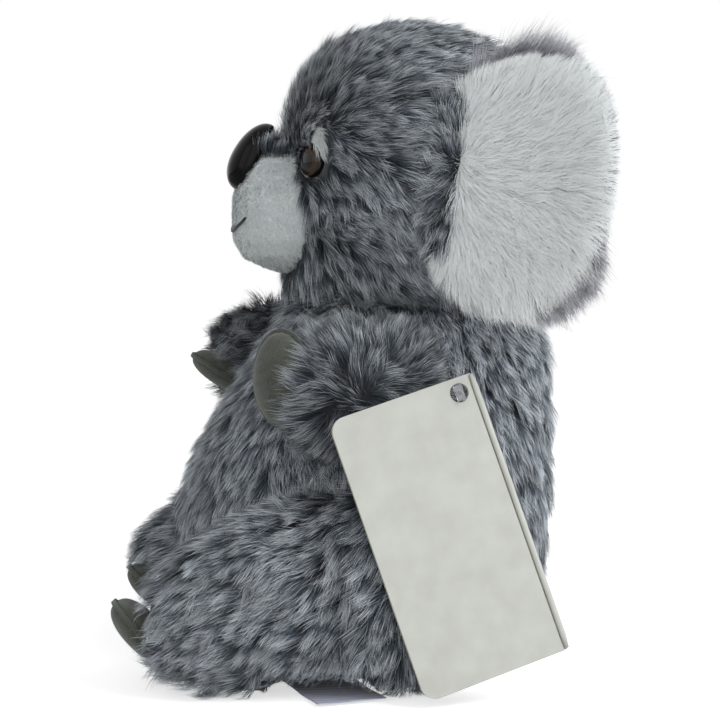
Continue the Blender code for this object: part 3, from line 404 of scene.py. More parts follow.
solid_arrays = {name: arrays_of(piece) for name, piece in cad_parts.items() if name != "mouth_stitch"}
skin_arrays = {name: arrays_of(piece) for name, piece in skins.items()}
print("solids to look round:", len(solid_arrays), "skins to cover:", len(skin_arrays))

# %% Roots in open air
RAY_MARGIN = 0.5


def tree_of(arrays):
    """A search tree for rays over one or more pieces."""
    points, corners, count = [], [], 0
    for own_points, _, own_corners in arrays:
        points.append(own_points)
        corners.append(own_corners + count)
        count += len(own_points)
    return BVHTree.FromPolygons(np.concatenate(points).tolist(), np.concatenate(corners).tolist())


def in_open_air(name, roots, normals, near_mm, own_reach_mm):
    """Which roots have nothing close over them, and no part of their own skin farther out."""
    own = tree_of([skin_arrays[name]])
    others = tree_of([arrays for other, arrays in solid_arrays.items() if other != name])
    free = np.ones(len(roots), bool)
    for index, (root, normal) in enumerate(zip(roots.tolist(), normals.tolist())):
        start, way = Vector(root), Vector(normal)
        margin = way * RAY_MARGIN * MM
        if others.ray_cast(start - margin, way, (near_mm + RAY_MARGIN) * MM)[0] is not None:
            free[index] = False
        elif own_reach_mm and own.ray_cast(start + margin, way, own_reach_mm * MM)[0] is not None:
            free[index] = False
    return free


print("rays start", RAY_MARGIN, "mm off the skin")

# %% [markdown]
# ## What the fur keeps off
# On the real toy the fur lies round the hard and flat pieces. Here strands that would pass through one are
# left out, so the places of tag, eyes and felt are needed first. They repeat the values of the solids.

# %% Places of tag, eyes and felt
def local_frame(origin_mm, x_axis, z_axis):
    """A frame at a point in millimetres, its Z along one direction and its X near another."""
    z = Vector(z_axis).normalized()
    y = z.cross(Vector(x_axis)).normalized()
    return Matrix.Translation(Vector(origin_mm) * MM) @ Matrix((y.cross(z), y, z)).transposed().to_4x4()


def turned_place(origin_mm, *turns):
    """A frame at a point in millimetres, turned by degrees about its axes, one after the other."""
    place = Matrix.Translation(Vector(origin_mm) * MM)
    for degrees, axis in turns:
        place = place @ Matrix.Rotation(math.radians(degrees), 4, axis)
    return place


TAG_LEAN = math.radians(9)
TAG = local_frame((63, 13.2, 80), (0, 1, 0), (math.cos(TAG_LEAN), 0, math.sin(TAG_LEAN)))
TAG = TAG @ Matrix.Rotation(math.radians(18), 4, "Z")
EYE_MIDDLE, EYE_TURN = (22.124, -18.329, 142), math.radians(28)
PATCH_MIDDLE, PATCH_TURN = (23.9, -18.136, 144.6), math.radians(36)
PAW_SIZES, FOOT_SIZES = (12.5, 9.4, 4.6), (10.4, 10.4, 5.0)
LOBES = {
    "paw_left": (turned_place((42.472, -30.135, 82.75), (42, "Z")), PAW_SIZES),
    "paw_right": (turned_place((-40.596, -36.328, 78.25), (-8, "Z"), (60, "X")), PAW_SIZES),
    "foot_left": (turned_place((40, -68, 15.46), (43, "X")), FOOT_SIZES),
    "foot_right": (turned_place((-40, -59.5, 11.6), (50, "X")), FOOT_SIZES),
}
print("eyes at", EYE_MIDDLE, "patches at", PATCH_MIDDLE)

# %% Strands that keep off felt, tag and label
# Limits are in millimetres. The tag's are in its own frame, where its back leaf starts at -0.8.
FELT_FRONT_ROOM, FELT_BACK_ROOM, FELT_EDGE_ROOM, HEEL_HEIGHT = 5.0, 0.8, 0.9, 0.5
CARD_ACROSS, CARD_ALONG, CARD_BACK = (-36, 6.5), (-73, 5), -1.4
LABEL_FROM, LABEL_ALONG, LABEL_ROOM = 40, (-36, -8), 2.0


def between(values, low, high):
    """Which values lie between two others."""
    return (values > low) & (values < high)


def in_frame_of(place, lines):
    """The lines' points in a frame, in millimetres."""
    inverse = np.array(place.inverted())
    return (lines @ inverse[:3, :3].T + inverse[:3, 3]) / MM


def off_felt(lines):
    """Which strands leave the outer face of each felt lobe bare. The round feet keep fur on their heels."""
    stays = np.ones(len(lines), bool)
    for place, (half_length, half_width, half_thick) in LOBES.values():
        local = in_frame_of(place, lines)
        deep = np.where(local[:, :, 1] < 0, half_thick + FELT_FRONT_ROOM, half_thick + FELT_BACK_ROOM)
        across = (local[:, :, 0] / (half_width + FELT_EDGE_ROOM)) ** 2
        reach = across + (local[:, :, 2] / (half_length + FELT_EDGE_ROOM)) ** 2
        heel = (half_length == half_width) & (local[:, :, 2] < HEEL_HEIGHT)
        stays &= (heel | ((reach + (local[:, :, 1] / deep) ** 2) > 1)).all(1)
    return stays


def off_card(lines):
    """Which strands stay behind the hang tag and off the ribbon label on the floor."""
    x, y, z = np.moveaxis(in_frame_of(TAG, lines), 2, 0)
    through = between(x, *CARD_ACROSS) & between(y, *CARD_ALONG) & (z > CARD_BACK)
    x, y, z = np.moveaxis(lines / MM, 2, 0)
    on_label = (x > LABEL_FROM) & between(y, *LABEL_ALONG) & (z < LABEL_ROOM)
    return ~(through | on_label).any(1)


print("felt lobes to keep bare:", list(LOBES))

# %% Strands that keep off the eyes
# Eye and patch are ovals, each round its own axis. Only the part of a patch behind the eye is kept open.
EYE_ROOM, EYE_DOME_MIDDLE, EYE_DOME_HEIGHT = 4.7, 0.5, 3.2
PATCH_SHIFT, PATCH_HALF_WIDTH, PATCH_HALF_HEIGHT, PATCH_DEPTHS, PATCH_OPEN_FROM = 0.6, 5.0, 8.6, (-1, 5), 2.2


def off_eyes(lines, patches_too):
    """Which strands pass outside the eyes' domes and, if asked, leave the backs of the white patches open."""
    stays = np.ones(len(lines), bool)
    fine = np.concatenate([lines, (lines[:, 1:] + lines[:, :-1]) / 2], 1) / MM
    for side in SIDES.values():
        for angle, middle in ((EYE_TURN, EYE_MIDDLE), (PATCH_TURN, PATCH_MIDDLE)):
            out = np.array([side * math.sin(angle), -math.cos(angle), 0])
            behind = np.array([side * math.cos(angle), math.sin(angle), 0])
            local = fine - np.array(middle) * np.array([side, 1, 1])
            depth, across, up = local @ out, local @ behind, local[:, :, 2]
            if angle == EYE_TURN:
                reach, rise = np.hypot(across, up) / EYE_ROOM, (depth - EYE_DOME_MIDDLE) / EYE_DOME_HEIGHT
                stays &= ~(reach ** 2 + rise ** 2 < 1).any(1)
            elif patches_too:
                reach, rise = (across - PATCH_SHIFT) / PATCH_HALF_WIDTH, up / PATCH_HALF_HEIGHT
                over = (reach ** 2 + rise ** 2 < 1) & between(depth, *PATCH_DEPTHS)
                stays &= ~(over & (across > PATCH_OPEN_FROM)).any(1)
    return stays


print("room over an eye in mm:", round(EYE_DOME_MIDDLE + EYE_DOME_HEIGHT, 1))

# %% [markdown]
# ## Strands
# Real pile sticks together in locks, so each strand leans sideways to the middle strand of its lock, more
# so at the tip. A strand is a ribbon of three lengths that narrows to a point. Ribbons cost far fewer faces
# than round hairs and look the same at this size. A UV map and shading normals go with each ribbon.

# %% The line of a strand
STRAND_LENGTHS = 3


def lay(roots, normals, ways, lengths, lift, droop):
    """Four points along each strand: it leaves the skin at the lift and bends down to the droop."""
    line = [roots]
    for step in range(STRAND_LENGTHS):
        angle = (lift + (droop - lift) * (step + 0.5) / STRAND_LENGTHS)[:, None]
        way = np.cos(angle) * ways + np.sin(angle) * normals
        line.append(line[-1] + lengths[:, None] / STRAND_LENGTHS * way)
    return np.stack(line, 1)


def turn(ways, normals, angles):
    """Turn each way about its normal."""
    return np.cos(angles)[:, None] * ways + np.sin(angles)[:, None] * np.cross(normals, ways)


print("lengths in a strand:", STRAND_LENGTHS)

# %% The ribbons
# Three pairs of points and a tip make two faces of four corners and one of three.
ROW_WIDTH_SHARES = (0.85, 1.0, 0.62)
FACE_POINTS, FACE_STARTS = np.array([0, 1, 3, 2, 2, 3, 5, 4, 4, 5, 6]), np.array([0, 4, 8])
POINT_ROWS = np.array([0, 0, 1, 1, 1, 1, 2, 2, 2, 2, 3])
POINTS_EACH, CORNERS_EACH = 7, len(FACE_POINTS)


def ribbon_points(lines, normals, widths, rolls):
    """Seven points on each ribbon, a pair for each row and one at the tip, and its flat and long ways."""
    run = unit(lines[:, 3] - lines[:, 0])
    flat = unit(np.cross(run, normals))
    flat = np.cos(rolls)[:, None] * flat + np.sin(rolls)[:, None] * np.cross(run, flat)
    rows = []
    for row, share in enumerate(ROW_WIDTH_SHARES):
        half = flat * (widths * share / 2)[:, None]
        rows += [lines[:, row] - half, lines[:, row] + half]
    return np.stack(rows + [lines[:, 3]], 1).reshape(-1, 3), flat, run


def ribbon_mesh(name, lines, normals, widths, rolls, shades, soft):
    """Ribbons along the lines, each with its shade and the share along it as its UV map.

    Shading normals are drawn towards the skin's by the soft share, as light passes through real pile.
    """
    count = len(lines)
    points, flat, run = ribbon_points(lines, normals, widths, rolls)
    corners = (np.arange(count)[:, None] * POINTS_EACH + FACE_POINTS).ravel()
    starts = (np.arange(count)[:, None] * CORNERS_EACH + FACE_STARTS).ravel()
    mesh = bpy.data.meshes.new(name)
    mesh.vertices.add(count * POINTS_EACH)
    mesh.vertices.foreach_set("co", points.astype(np.float32).ravel())
    mesh.loops.add(count * CORNERS_EACH)
    mesh.loops.foreach_set("vertex_index", corners.astype(np.int32))
    mesh.polygons.add(count * len(FACE_STARTS))
    mesh.polygons.foreach_set("loop_start", starts.astype(np.int32))
    mesh.update(calc_edges=True)
    chart = np.stack([np.repeat(shades, CORNERS_EACH), np.tile(POINT_ROWS / STRAND_LENGTHS, count)], 1)
    mesh.uv_layers.new(name="OFBake").data.foreach_set("uv", chart.astype(np.float32).ravel())
    mesh.shade_smooth()
    across = unit(np.cross(flat, run))
    across *= np.sign((across * normals).sum(1, keepdims=True))
    shading = unit(soft * normals + (1 - soft) * across)
    mesh.normals_split_custom_set_from_vertices(np.repeat(shading, POINTS_EACH, axis=0).tolist())
    return mesh


print("points and corners in a ribbon:", POINTS_EACH, CORNERS_EACH)

# %% [markdown]
# Locks differ in their way, length, lift and shade, and the strands of a lock differ less. Slow swings over
# some 20 mm part one tuft of locks from the next. Where the comb's way is short, as at a crown, the locks
# stand up and swing more freely.

# %% Tufts and locks
TUFT_MM = 6.5


def partings(places):
    """Slow swings from -1 to 1 over some 20 mm, where one tuft of the pile parts from the next."""
    x, y, z = places.T / TUFT_MM
    bent = np.sin(x + 1.7 * np.sin(0.8 * z + 0.5))
    return bent * np.sin(0.9 * y + 1.3 * np.sin(0.7 * x)) * np.cos(1.1 * z + y)


def find_locks(roots, pile, rng):
    """The middle strand of each lock, and the lock that each strand belongs to."""
    count = len(roots)
    middles = rng.choice(count, max(1, int(count / pile["per_mm2"] / pile["lock"] ** 2)), replace=False)
    finder = KDTree(len(middles))
    for index, middle in enumerate(middles):
        finder.insert(roots[middle], index)
    finder.balance()
    return middles, np.array([finder.find(root)[1] for root in roots.tolist()])


print("a tuft is some", round(math.pi * TUFT_MM), "mm wide")

# %% Strands drawn together in locks
# Where the comb's way is shorter than this, strands are loose: they stand up and swing more.
LOOSE_BELOW, LOOSE_LIFT, LOOSE_SWING = 0.7, math.radians(22), 3
# How much the locks differ from each other, and what a tuft adds to them.
LOCK_VARIES, LIFT_VARIES, DROOP_FOLLOWS = 0.13, 0.45, 0.5
TUFT_SHADE, TUFT_SWING, TUFT_LIFT = 0.12, 1.6, 0.4
# How much a strand differs from its lock.
STRAY_WAY, STRAY_LIFT, STRAY_DROOP = math.radians(11), math.radians(7), math.radians(8)
LENGTH_VARIES, GRIP_VARIES = (0.78, 1.12), (0.55, 1.1)
# A lock pulls more at the tip than at the root, and mostly sideways. No strand goes below the floor.
GRIP_SHARES, PULL_SIDEWAYS, FLOOR_ROOM = np.array([0.0, 0.35, 0.75, 1.0]), 0.75, 0.25


def grow(roots, normals, comb, lengths, pile, rng):
    """Lay a strand from each root and draw it to its lock. Returns the lines and the locks' shades."""
    count, swing = len(roots), pile["swing"]
    ways = comb(roots / MM, normals)
    ways = ways - (ways * normals).sum(1, keepdims=True) * normals
    loose = 1 - np.clip(np.linalg.norm(ways, axis=1) / LOOSE_BELOW, 0, 1)
    ways = unit(ways)
    middles, of_lock = find_locks(roots, pile, rng)
    tuft = partings(roots[middles] / MM)
    lock_swing = rng.normal(0, math.radians(swing), len(middles)) + math.radians(swing * TUFT_SWING) * tuft
    lock_length = rng.normal(1, LOCK_VARIES, len(middles))
    lock_lift = rng.normal(0, math.radians(swing * LIFT_VARIES), len(middles))
    lock_lift = lock_lift + math.radians(swing * TUFT_LIFT) * tuft
    # A part's whole shift, set with its pile, is painted light above zero and painted shade below zero; it
    # moves the shade of every lock.
    lock_shade = rng.normal(pile["tone"], LOCK_VARIES, len(middles)) - TUFT_SHADE * tuft
    lifts = math.radians(pile["lift"]) + lock_lift[of_lock] + LOOSE_LIFT * loose
    droops = np.full(count, math.radians(pile["droop"])) + lock_lift[of_lock] * DROOP_FOLLOWS
    ways = turn(ways, normals, lock_swing[of_lock] * (1 + LOOSE_SWING * loose))
    lengths = lengths * lock_length[of_lock]
    middle_lines = lay(roots, normals, ways, lengths, lifts, droops)[middles]
    ways = turn(ways, normals, rng.normal(0, STRAY_WAY, count))
    lines = lay(roots, normals, ways, lengths * rng.uniform(*LENGTH_VARIES, count),
                lifts + rng.normal(0, STRAY_LIFT, count), droops + rng.normal(0, STRAY_DROOP, count))
    grip = (pile["hold"] * rng.uniform(*GRIP_VARIES, count))[:, None, None] * GRIP_SHARES[None, :, None]
    pull = middle_lines[of_lock] - lines
    run = ways[middles][of_lock][:, None, :]
    lines = lines + grip * (pull - PULL_SIDEWAYS * (pull * run).sum(2, keepdims=True) * run)
    lines[:, :, 2] = np.maximum(lines[:, :, 2], FLOOR_ROOM * MM)
    return lines, lock_shade[of_lock]


print("share of the pull along a strand that is left:", 1 - PULL_SIDEWAYS)

# %% [markdown]
# A coat is the strands of one skin. The big ones are cut into quarters, so that no mesh gets too large to
# be handed on whole. Shades are rounded to 256 steps, so that strands of one shade share a column of the UV
# map.

# %% The coat of strands
# The last entry shifts the shade of every lock of a part: painted light above zero, painted shade below.
PILE = {"length": 9.5, "per_mm2": 5.4, "width": 0.15, "lift": 35, "droop": 2, "lock": 2.2, "hold": 0.58,
        "swing": 17, "soft": 0.60, "tone": 0.0}
SHADE_VARIES, SHADE_LIMITS, SHADE_STEPS = 0.13, (0.02, 0.98), 256
WIDTH_VARIES, ROLL_VARIES = (0.7, 1.25), math.radians(32)


def quarters_of(roots):
    """Left and right, front and back quarters of a coat, by where its strands start."""
    left, front = roots[:, 0] >= 0, roots[:, 1] < np.median(roots[:, 1])
    return {"_left_front": left & front, "_left_back": left & ~front,
            "_right_front": ~left & front, "_right_back": ~left & ~front}


def coat(name, body, slot, finish, comb, seed, near=2.0, own_reach=80, length_at=None, keep=None, clear=True,
         quarters=False, title=None, **changes):
    """Cover a skin with strands in locks. Lengths are in millimetres and angles in degrees."""
    pile = {**PILE, **changes}
    rng = np.random.default_rng(seed)
    roots, normals, area = spread_roots(skin_arrays[name], pile["per_mm2"], rng)
    free = in_open_air(name, roots, normals, near, own_reach)
    if keep:
        free &= keep(roots / MM, normals)
    roots, normals = roots[free], normals[free]
    count = len(roots)
    lengths = np.full(count, pile["length"] * MM)
    if length_at:
        lengths = lengths * length_at(roots / MM, normals)
    lines, lock_shades = grow(roots, normals, comb, lengths, pile, rng)
    shades = np.clip(0.5 + lock_shades + rng.normal(0, SHADE_VARIES, count), *SHADE_LIMITS)
    shades = (np.floor(shades * SHADE_STEPS) + 0.5) / SHADE_STEPS
    widths = pile["width"] * MM * rng.uniform(*WIDTH_VARIES, count)
    rolls = rng.normal(0, ROLL_VARIES, count)
    stays = off_felt(lines) & off_card(lines)
    if clear:
        stays &= off_eyes(lines, finish is GREY_PILE)
    strands = [values[stays] for values in (lines, normals, widths, rolls, shades)]
    parts = quarters_of(roots[stays]) if quarters else {"": np.ones(stays.sum(), bool)}
    for ending, chosen in parts.items():
        whole = (title or name + "_pile") + ending
        mesh = ribbon_mesh(whole, *(values[chosen] for values in strands), pile["soft"])
        put(dress(link(bpy.data.objects.new(whole, mesh)), finish), body, slot)
    print(name, "area mm2", round(area), "strands", stays.sum())


print("long pile:", PILE)

# %% [markdown]
# ## The grey coat
# Head, body, arms and legs are one cloth, so they share one length of pile, a little shorter on the crown
# and over the label. Arms and head get painted shade, darker than the rest, and body and legs painted light.

# %% Grey pile on head and body
CROWN_CUT, BRIDGE_CUT, LABEL_CUT, BROW_CUT = 0.30, 0.10, 0.65, 0.5


def crown_length(places, normals):
    """A little shorter on the crown, where the pile is rubbed flat, and on the bridge of the nose."""
    crown = ramp(places[:, 2], 164, 180)
    bridge = ramp(places[:, 1], -14, -22) * ramp(places[:, 2], 136, 144)
    return 1 - CROWN_CUT * crown - BRIDGE_CUT * bridge


def over_label_length(places, normals):
    """Short low on the left leg, over the ribbon label."""
    by_label = (places[:, 0] > 36) * (places[:, 1] > -38) * (places[:, 1] < -6)
    return 1 - LABEL_CUT * (ramp(places[:, 2], 15, 9) * by_label)


def not_underneath(places, normals):
    """All but the flat underside that the toy sits on."""
    return normals[:, 2] > -0.8


# The head's coat gets a little painted shade.
coat("head", "head", "grey_plush", GREY_PILE, comb_head, 11, quarters=True, length_at=crown_length,
     tone=-0.06)
# The body's coat gets painted light.
coat("body", "torso", "grey_plush", GREY_PILE, comb_body, 12, quarters=True, keep=not_underneath, tone=0.12)

# %% [markdown]
# The fur of the forehead comes down on the bridge of the nose. That is a small coat of its own, since it
# grows from the top of the muzzle.

# %% The bridge of the nose
def on_bridge(places, normals):
    """The top of the muzzle behind the nose, where the grey fur of the forehead comes down."""
    high = places[:, 2] > 142.0 + 0.12 * np.abs(places[:, 0])
    return high & (places[:, 1] > -38) & (normals[:, 2] > 0.1)


def comb_bridge(places, normals):
    """Up, and out to the side."""
    return np.stack([0.04 * places[:, 0], np.full(len(places), -0.2), np.ones(len(places))], 1)


coat("muzzle", "head", "grey_plush", GREY_PILE, comb_bridge, 13, own_reach=0, near=0.3, length=7.5, lift=60,
     droop=35, keep=on_bridge, title="bridge_pile")

# %% [markdown]
# The backs of the ears are a paler cut of the grey plush. It is short on the back and long over the top,
# where it stands past the white lining as a fringe. In front of each ear's root, and in front of each eye
# as a brow, the head's grey closes the gap to the white.

# %% Rules for the backs of the ears
EAR_PILE = pile_finish("frosted_ear_pile", "#4a4c53", "#94969f", "#ebebf0", 0.42, (0.74, 1.22), 0.12)
FRINGE_SHORTEST, FRINGE_TOP, FRINGE_LOW, ROOT_STRIP = 0.55, 0.92, 0.55, 9


def fringe_length(side):
    """Short on the back of an ear, and longer over its top and at its lower outer rim."""
    axes, root = ear_frame(side)

    def share(places, normals):
        local = (places - root) @ axes.T
        top = ramp(local[:, 2], 14, 26) * ramp(local[:, 0], 34, 20)
        low = ramp(local[:, 2], -10, -20) * ramp(local[:, 0], 20, 34)
        return FRINGE_SHORTEST + np.maximum(FRINGE_TOP * top, FRINGE_LOW * low)
    return share


def on_ear_root(side, wanted):
    """The strip in front of an ear's root, where the head's fur meets the lining, or all but that strip."""
    axes, root = ear_frame(side)

    def keep(places, normals):
        strip = (((places - root) @ axes.T)[:, 0] < ROOT_STRIP) & ((normals @ axes.T)[:, 1] < 0.1)
        return strip == wanted
    return keep


print("ear pile:", EAR_PILE.name)

# %% Rules for the brows
def in_front_of_eye(wanted):
    """The front of an eye patch, which the grey fur of the brow covers, or the rest of the patch."""
    def keep(places, normals):
        behind = (np.abs(places[:, 0]) - PATCH_MIDDLE[0]) * math.cos(PATCH_TURN)
        behind += (places[:, 1] - PATCH_MIDDLE[1]) * math.sin(PATCH_TURN)
        return (behind < 0.6) == wanted
    return keep


def comb_brow(places, normals):
    """Back over the eye, and up above its middle."""
    side = np.sign(places[:, 0])
    return np.stack([0.65 * side, np.full(len(places), 0.55), 0.10 * (places[:, 2] - 143.0)], 1)


def brow_length(places, normals):
    """Long in front of the eye and short above it, so that the eye looks out."""
    return 1 - BROW_CUT * ramp(places[:, 2], 144.0, 147.0)


print("the brow's fur is", 1 - BROW_CUT, "of its length above the eye")

# %% Grey pile on limbs, ears and brows
for word, side in SIDES.items():
    arm, leg, ear, ear_back = "arm_" + word, "leg_" + word, "ear_" + word, "ear_back_" + word
    # The arms' coats get strong painted shade, and the legs' a little painted light.
    coat(arm, arm, "grey_plush", GREY_PILE, comb_arm, 20 + side, clear=False, tone=-0.26)
    coat(leg, leg, "grey_plush", GREY_PILE, comb_leg, 30 + side, clear=False, length_at=over_label_length,
         keep=not_underneath, tone=0.03)
    coat(ear_back, ear, "grey_plush", EAR_PILE, comb_ear(side), 40 + side, clear=False, own_reach=0, near=1.2,
         lift=36, droop=12, per_mm2=13, width=0.13, lock=1.4, hold=0.25, length_at=fringe_length(side),
         swing=12, keep=on_ear_root(side, False))
    # The grey strip in front of each ear's root gets painted shade, where it meets the lining.
    coat(ear_back, ear, "grey_plush", GREY_PILE, comb_ear(side), 45 + side, clear=False, own_reach=0,
         near=0.6, length=7.5, per_mm2=7, keep=on_ear_root(side, True), title="ear_root_pile_" + word,
         tone=-0.10)
    coat("eye_patch_" + word, "head", "grey_plush", GREY_PILE, comb_brow, 65 + side, own_reach=0, near=0.3,
         length=8.5, per_mm2=30, width=0.12, lift=84, droop=-12, keep=in_front_of_eye(True), swing=8,
         length_at=brow_length, title="brow_pile_" + word)

# %% [markdown]
# ## The white coat
# The linings are long white pile combed outward. It is shorter at the rim, where it was trimmed so that
# the white keeps a clear edge. Muzzle and eye patches are a short plush of about 2 mm.

# %% White pile
def lining_length(side):
    """Long over the middle of the ear and short at its rim, most of all under the grey top."""
    axes, root = ear_frame(side)
    middle_out, middle_up, half_width, half_height = 22.2, -2.2, 25, 33.5
    at_middle, rim_cut, top_cut, shortest = 1.15, 0.30, 0.35, 0.40

    def share(places, normals):
        local = (places - root) @ axes.T
        reach = np.hypot((local[:, 0] - middle_out) / half_width, (local[:, 2] - middle_up) / half_height)
        grey_top = ramp(local[:, 2], 20, 28) * ramp(local[:, 0], 40, 28)
        return np.clip(at_middle - rim_cut * reach ** 2 - top_cut * grey_top, shortest, 1)
    return share


for word, side in SIDES.items():
    coat("ear_lining_" + word, "ear_" + word, "white_plush", WHITE_PILE, comb_ear(side), 50 + side,
         clear=False, own_reach=0, near=0.8, length=8.5, per_mm2=9, width=0.125, lift=25, droop=6, lock=2.2,
         hold=0.22, length_at=lining_length(side), swing=9, soft=0.9)
    coat("eye_patch_" + word, "head", "white_plush", FACE_PILE, comb_patch, 60 + side, own_reach=0, near=0.5,
         length=3.6, per_mm2=15, width=0.14, lift=40, droop=15, lock=1.2, hold=0.4,
         keep=in_front_of_eye(False), swing=6)
coat("muzzle", "head", "white_plush", FACE_PILE, comb_muzzle, 70, own_reach=60, near=0.3, length=1.2,
     per_mm2=14, width=0.13, lift=55, droop=25, lock=1.0, hold=0.25)

# %% [markdown]
# ## Moulded plastic
# The nose is one hard moulding in black plastic, polished in the tool, so it mirrors the lamps with faint
# waves. Washers come from a plain tool and look like dull white nylon.

# %% Plastic finishes
def plastic(name, code, roughness, level):
    """Moulded plastic: smooth, with the waves of a polished tool, about 1.5 mm from crest to crest."""
    finish, shader = new_finish(name, {"Base Color": linear(code), "Roughness": roughness, "IOR": 1.5,
                                       "Specular IOR Level": level})
    place = add(finish, "TexCoord")
    waves = add(finish, "TexNoise", {"Scale": 1 / (1.5 * MM), "Detail": 1.0},
                {"Vector": place.outputs["Object"]})
    bump = add(finish, "Bump", {"Strength": 0.35, "Distance": 0.03 * MM}, {"Height": waves.outputs[0]})
    feed(finish, shader, "Normal", bump.outputs[0])
    return finish


NOSE_PLASTIC = plastic("polished_black_abs", "#040405", 0.09, 0.11)
WASHER_PLASTIC = plastic("moulded_white_nylon", "#c4c3bc", 0.5, 0.5)
print("plastics:", NOSE_PLASTIC.name, WASHER_PLASTIC.name)

# %% [markdown]
# ## The nose
# The nose is an oval dome, fuller at its lower end, with a slit that curves down each side. It is built of
# closed rings from the stem to the top. The slit is pressed into the rings, so it shows from any side.

# %% A mesh from closed rings
def ring_mesh(name, rings):
    """Skin a stack of closed rings and close both ends with a fan."""
    form = bmesh.new()
    loops = [[form.verts.new(point) for point in ring] for ring in rings]
    for low, high in zip(loops, loops[1:]):
        for index in range(len(low)):
            after = (index + 1) % len(low)
            form.faces.new((low[index], low[after], high[after], high[index]))
    for loop in (loops[0], loops[-1]):
        middle = form.verts.new(sum((vert.co for vert in loop), Vector()) / len(loop))
        for index in range(len(loop)):
            form.faces.new((loop[index], loop[(index + 1) % len(loop)], middle))
    bmesh.ops.recalc_face_normals(form, faces=form.faces)
    mesh = bpy.data.meshes.new(name)
    form.to_mesh(mesh)
    form.free()
    mesh.shade_smooth()
    return mesh


def full_circle(count):
    """Angles once round."""
    return np.linspace(0, 2 * math.pi, count, endpoint=False)


print("a quarter turn in four:", np.round(full_circle(4)[1], 3))

# %% The nose's form
NOSE_HALF_WIDTH, NOSE_HALF_LENGTH, NOSE_TILT = 7.8, 10.7, math.radians(30)
NOSE_STEM_RADIUS, NOSE_STEM_LENGTH, NOSE_RIM, NOSE_RISE = 2.0, 17.0, 1.0, 6.0
NOSE_OVAL_POWER, NOSE_DOME_POWER, LOWER_WIDTH, LOWER_SWELL = 0.85, 0.92, 0.05, 0.06
SLIT_DEPTH, SLIT_WIDTH = 0.75, 0.36
NOSE = local_frame((0, -32.178, 143.6), (1, 0, 0), (0, -math.cos(NOSE_TILT), math.sin(NOSE_TILT)))


def slit_depth(reach, angle):
    """How deep the slit is, in millimetres, at a share of the radius and an angle round the nose."""
    down_side = math.atan2(math.sin(angle), abs(math.cos(angle)))
    middle = 0.90 - 0.05 * math.sin(2.6 * down_side + 0.4)
    window = max(0.0, 1 - (down_side + 0.25) ** 2)
    return SLIT_DEPTH * window ** 0.5 * math.exp(-((reach - middle) * NOSE_HALF_WIDTH / SLIT_WIDTH) ** 2)


def squarer(wave, power):
    """A sine or cosine with its ends filled out, so that the oval gets fuller corners."""
    return math.copysign(abs(wave) ** power, wave)


def nose_point(reach, height, angle):
    """A point of the dome, at a share of the radius and a height over its rim."""
    lower = -math.sin(angle) * reach
    if height >= NOSE_RIM:
        height = height * (1 + LOWER_SWELL * lower) - slit_depth(reach, angle)
    wide = NOSE_HALF_WIDTH * (1 + LOWER_WIDTH * lower)
    across = squarer(math.cos(angle), NOSE_OVAL_POWER) * wide * reach
    along = squarer(math.sin(angle), NOSE_OVAL_POWER) * NOSE_HALF_LENGTH * reach
    return NOSE @ (Vector((across, along, height)) * MM)


def stem_point(height, angle):
    """A point of the round stem."""
    x, y = NOSE_STEM_RADIUS * math.cos(angle), NOSE_STEM_RADIUS * math.sin(angle)
    return NOSE @ (Vector((x, y, height)) * MM)


print("slit depth at the nose's sides in mm:", round(slit_depth(0.9, 0.0), 2))

# %% The nose moulding
NOSE_POINTS, NOSE_STEPS = 176, 45
nose_angles = [2 * math.pi * index / NOSE_POINTS for index in range(NOSE_POINTS)]
nose_rings = [[stem_point(height, angle) for angle in nose_angles] for height in (-NOSE_STEM_LENGTH, 0.0)]
dome = [(0.92, 0.0), (0.985, 0.35)]
for step in range(NOSE_STEPS):
    rise = math.pi / 2 * step / (NOSE_STEPS + 0.5)
    dome.append((math.cos(rise) ** NOSE_DOME_POWER, NOSE_RIM + NOSE_RISE * math.sin(rise)))
nose_rings += [[nose_point(reach, height, angle) for angle in nose_angles] for reach, height in dome]
nose = link(bpy.data.objects.new("nose_moulding", ring_mesh("nose_moulding", nose_rings)))
put(dress(nose, NOSE_PLASTIC), "head", "black_plastic", "nose")
print("nose faces:", len(nose.data.polygons), "height mm:", round(nose.dimensions.z / MM, 1))

# %% [markdown]
# ## The eyes
# A toy eye is a clear dome with the iris and the pupil printed on its back. Here the colour rings are
# made from the distance to the eye's axis, kept on each point of the mesh, under a glossy coat.

# %% The eyes' finish
def eye_finish(name):
    """Amber iris round a black pupil, with a dark outer ring, under clear moulded plastic."""
    finish, shader = new_finish(name, {"Roughness": 0.3, "Specular IOR Level": 0.1, "Coat Weight": 0.5,
                                       "Coat Roughness": 0.03})
    reach = add(finish, "Attribute", {"attribute_name": "reach"})
    place = add(finish, "TexCoord")
    flecks = add(finish, "TexNoise", {"Scale": 1 / (0.5 * MM), "Detail": 3.0},
                 {"Vector": place.outputs["Object"]})
    iris = add(finish, "Mix", {"data_type": "RGBA", 6: linear("#1e1005"), 7: linear("#3d220b")},
               {0: flecks.outputs[0]})
    pupil = add(finish, "MapRange", {"From Min": 0.52, "From Max": 0.58}, {"Value": reach.outputs["Fac"]})
    rim = add(finish, "MapRange", {"From Min": 0.76, "From Max": 0.88}, {"Value": reach.outputs["Fac"]})
    inner = add(finish, "Mix", {"data_type": "RGBA", 6: linear("#060607")},
                {0: pupil.outputs[0], 7: iris.outputs[2]})
    outer = add(finish, "Mix", {"data_type": "RGBA", 7: linear("#120b06")},
                {0: rim.outputs[0], 6: inner.outputs[2]})
    feed(finish, shader, "Base Color", outer.outputs[2])
    return finish


EYE_PLASTIC = eye_finish("clear_moulded_acrylic")
print("eye finish:", EYE_PLASTIC.name)

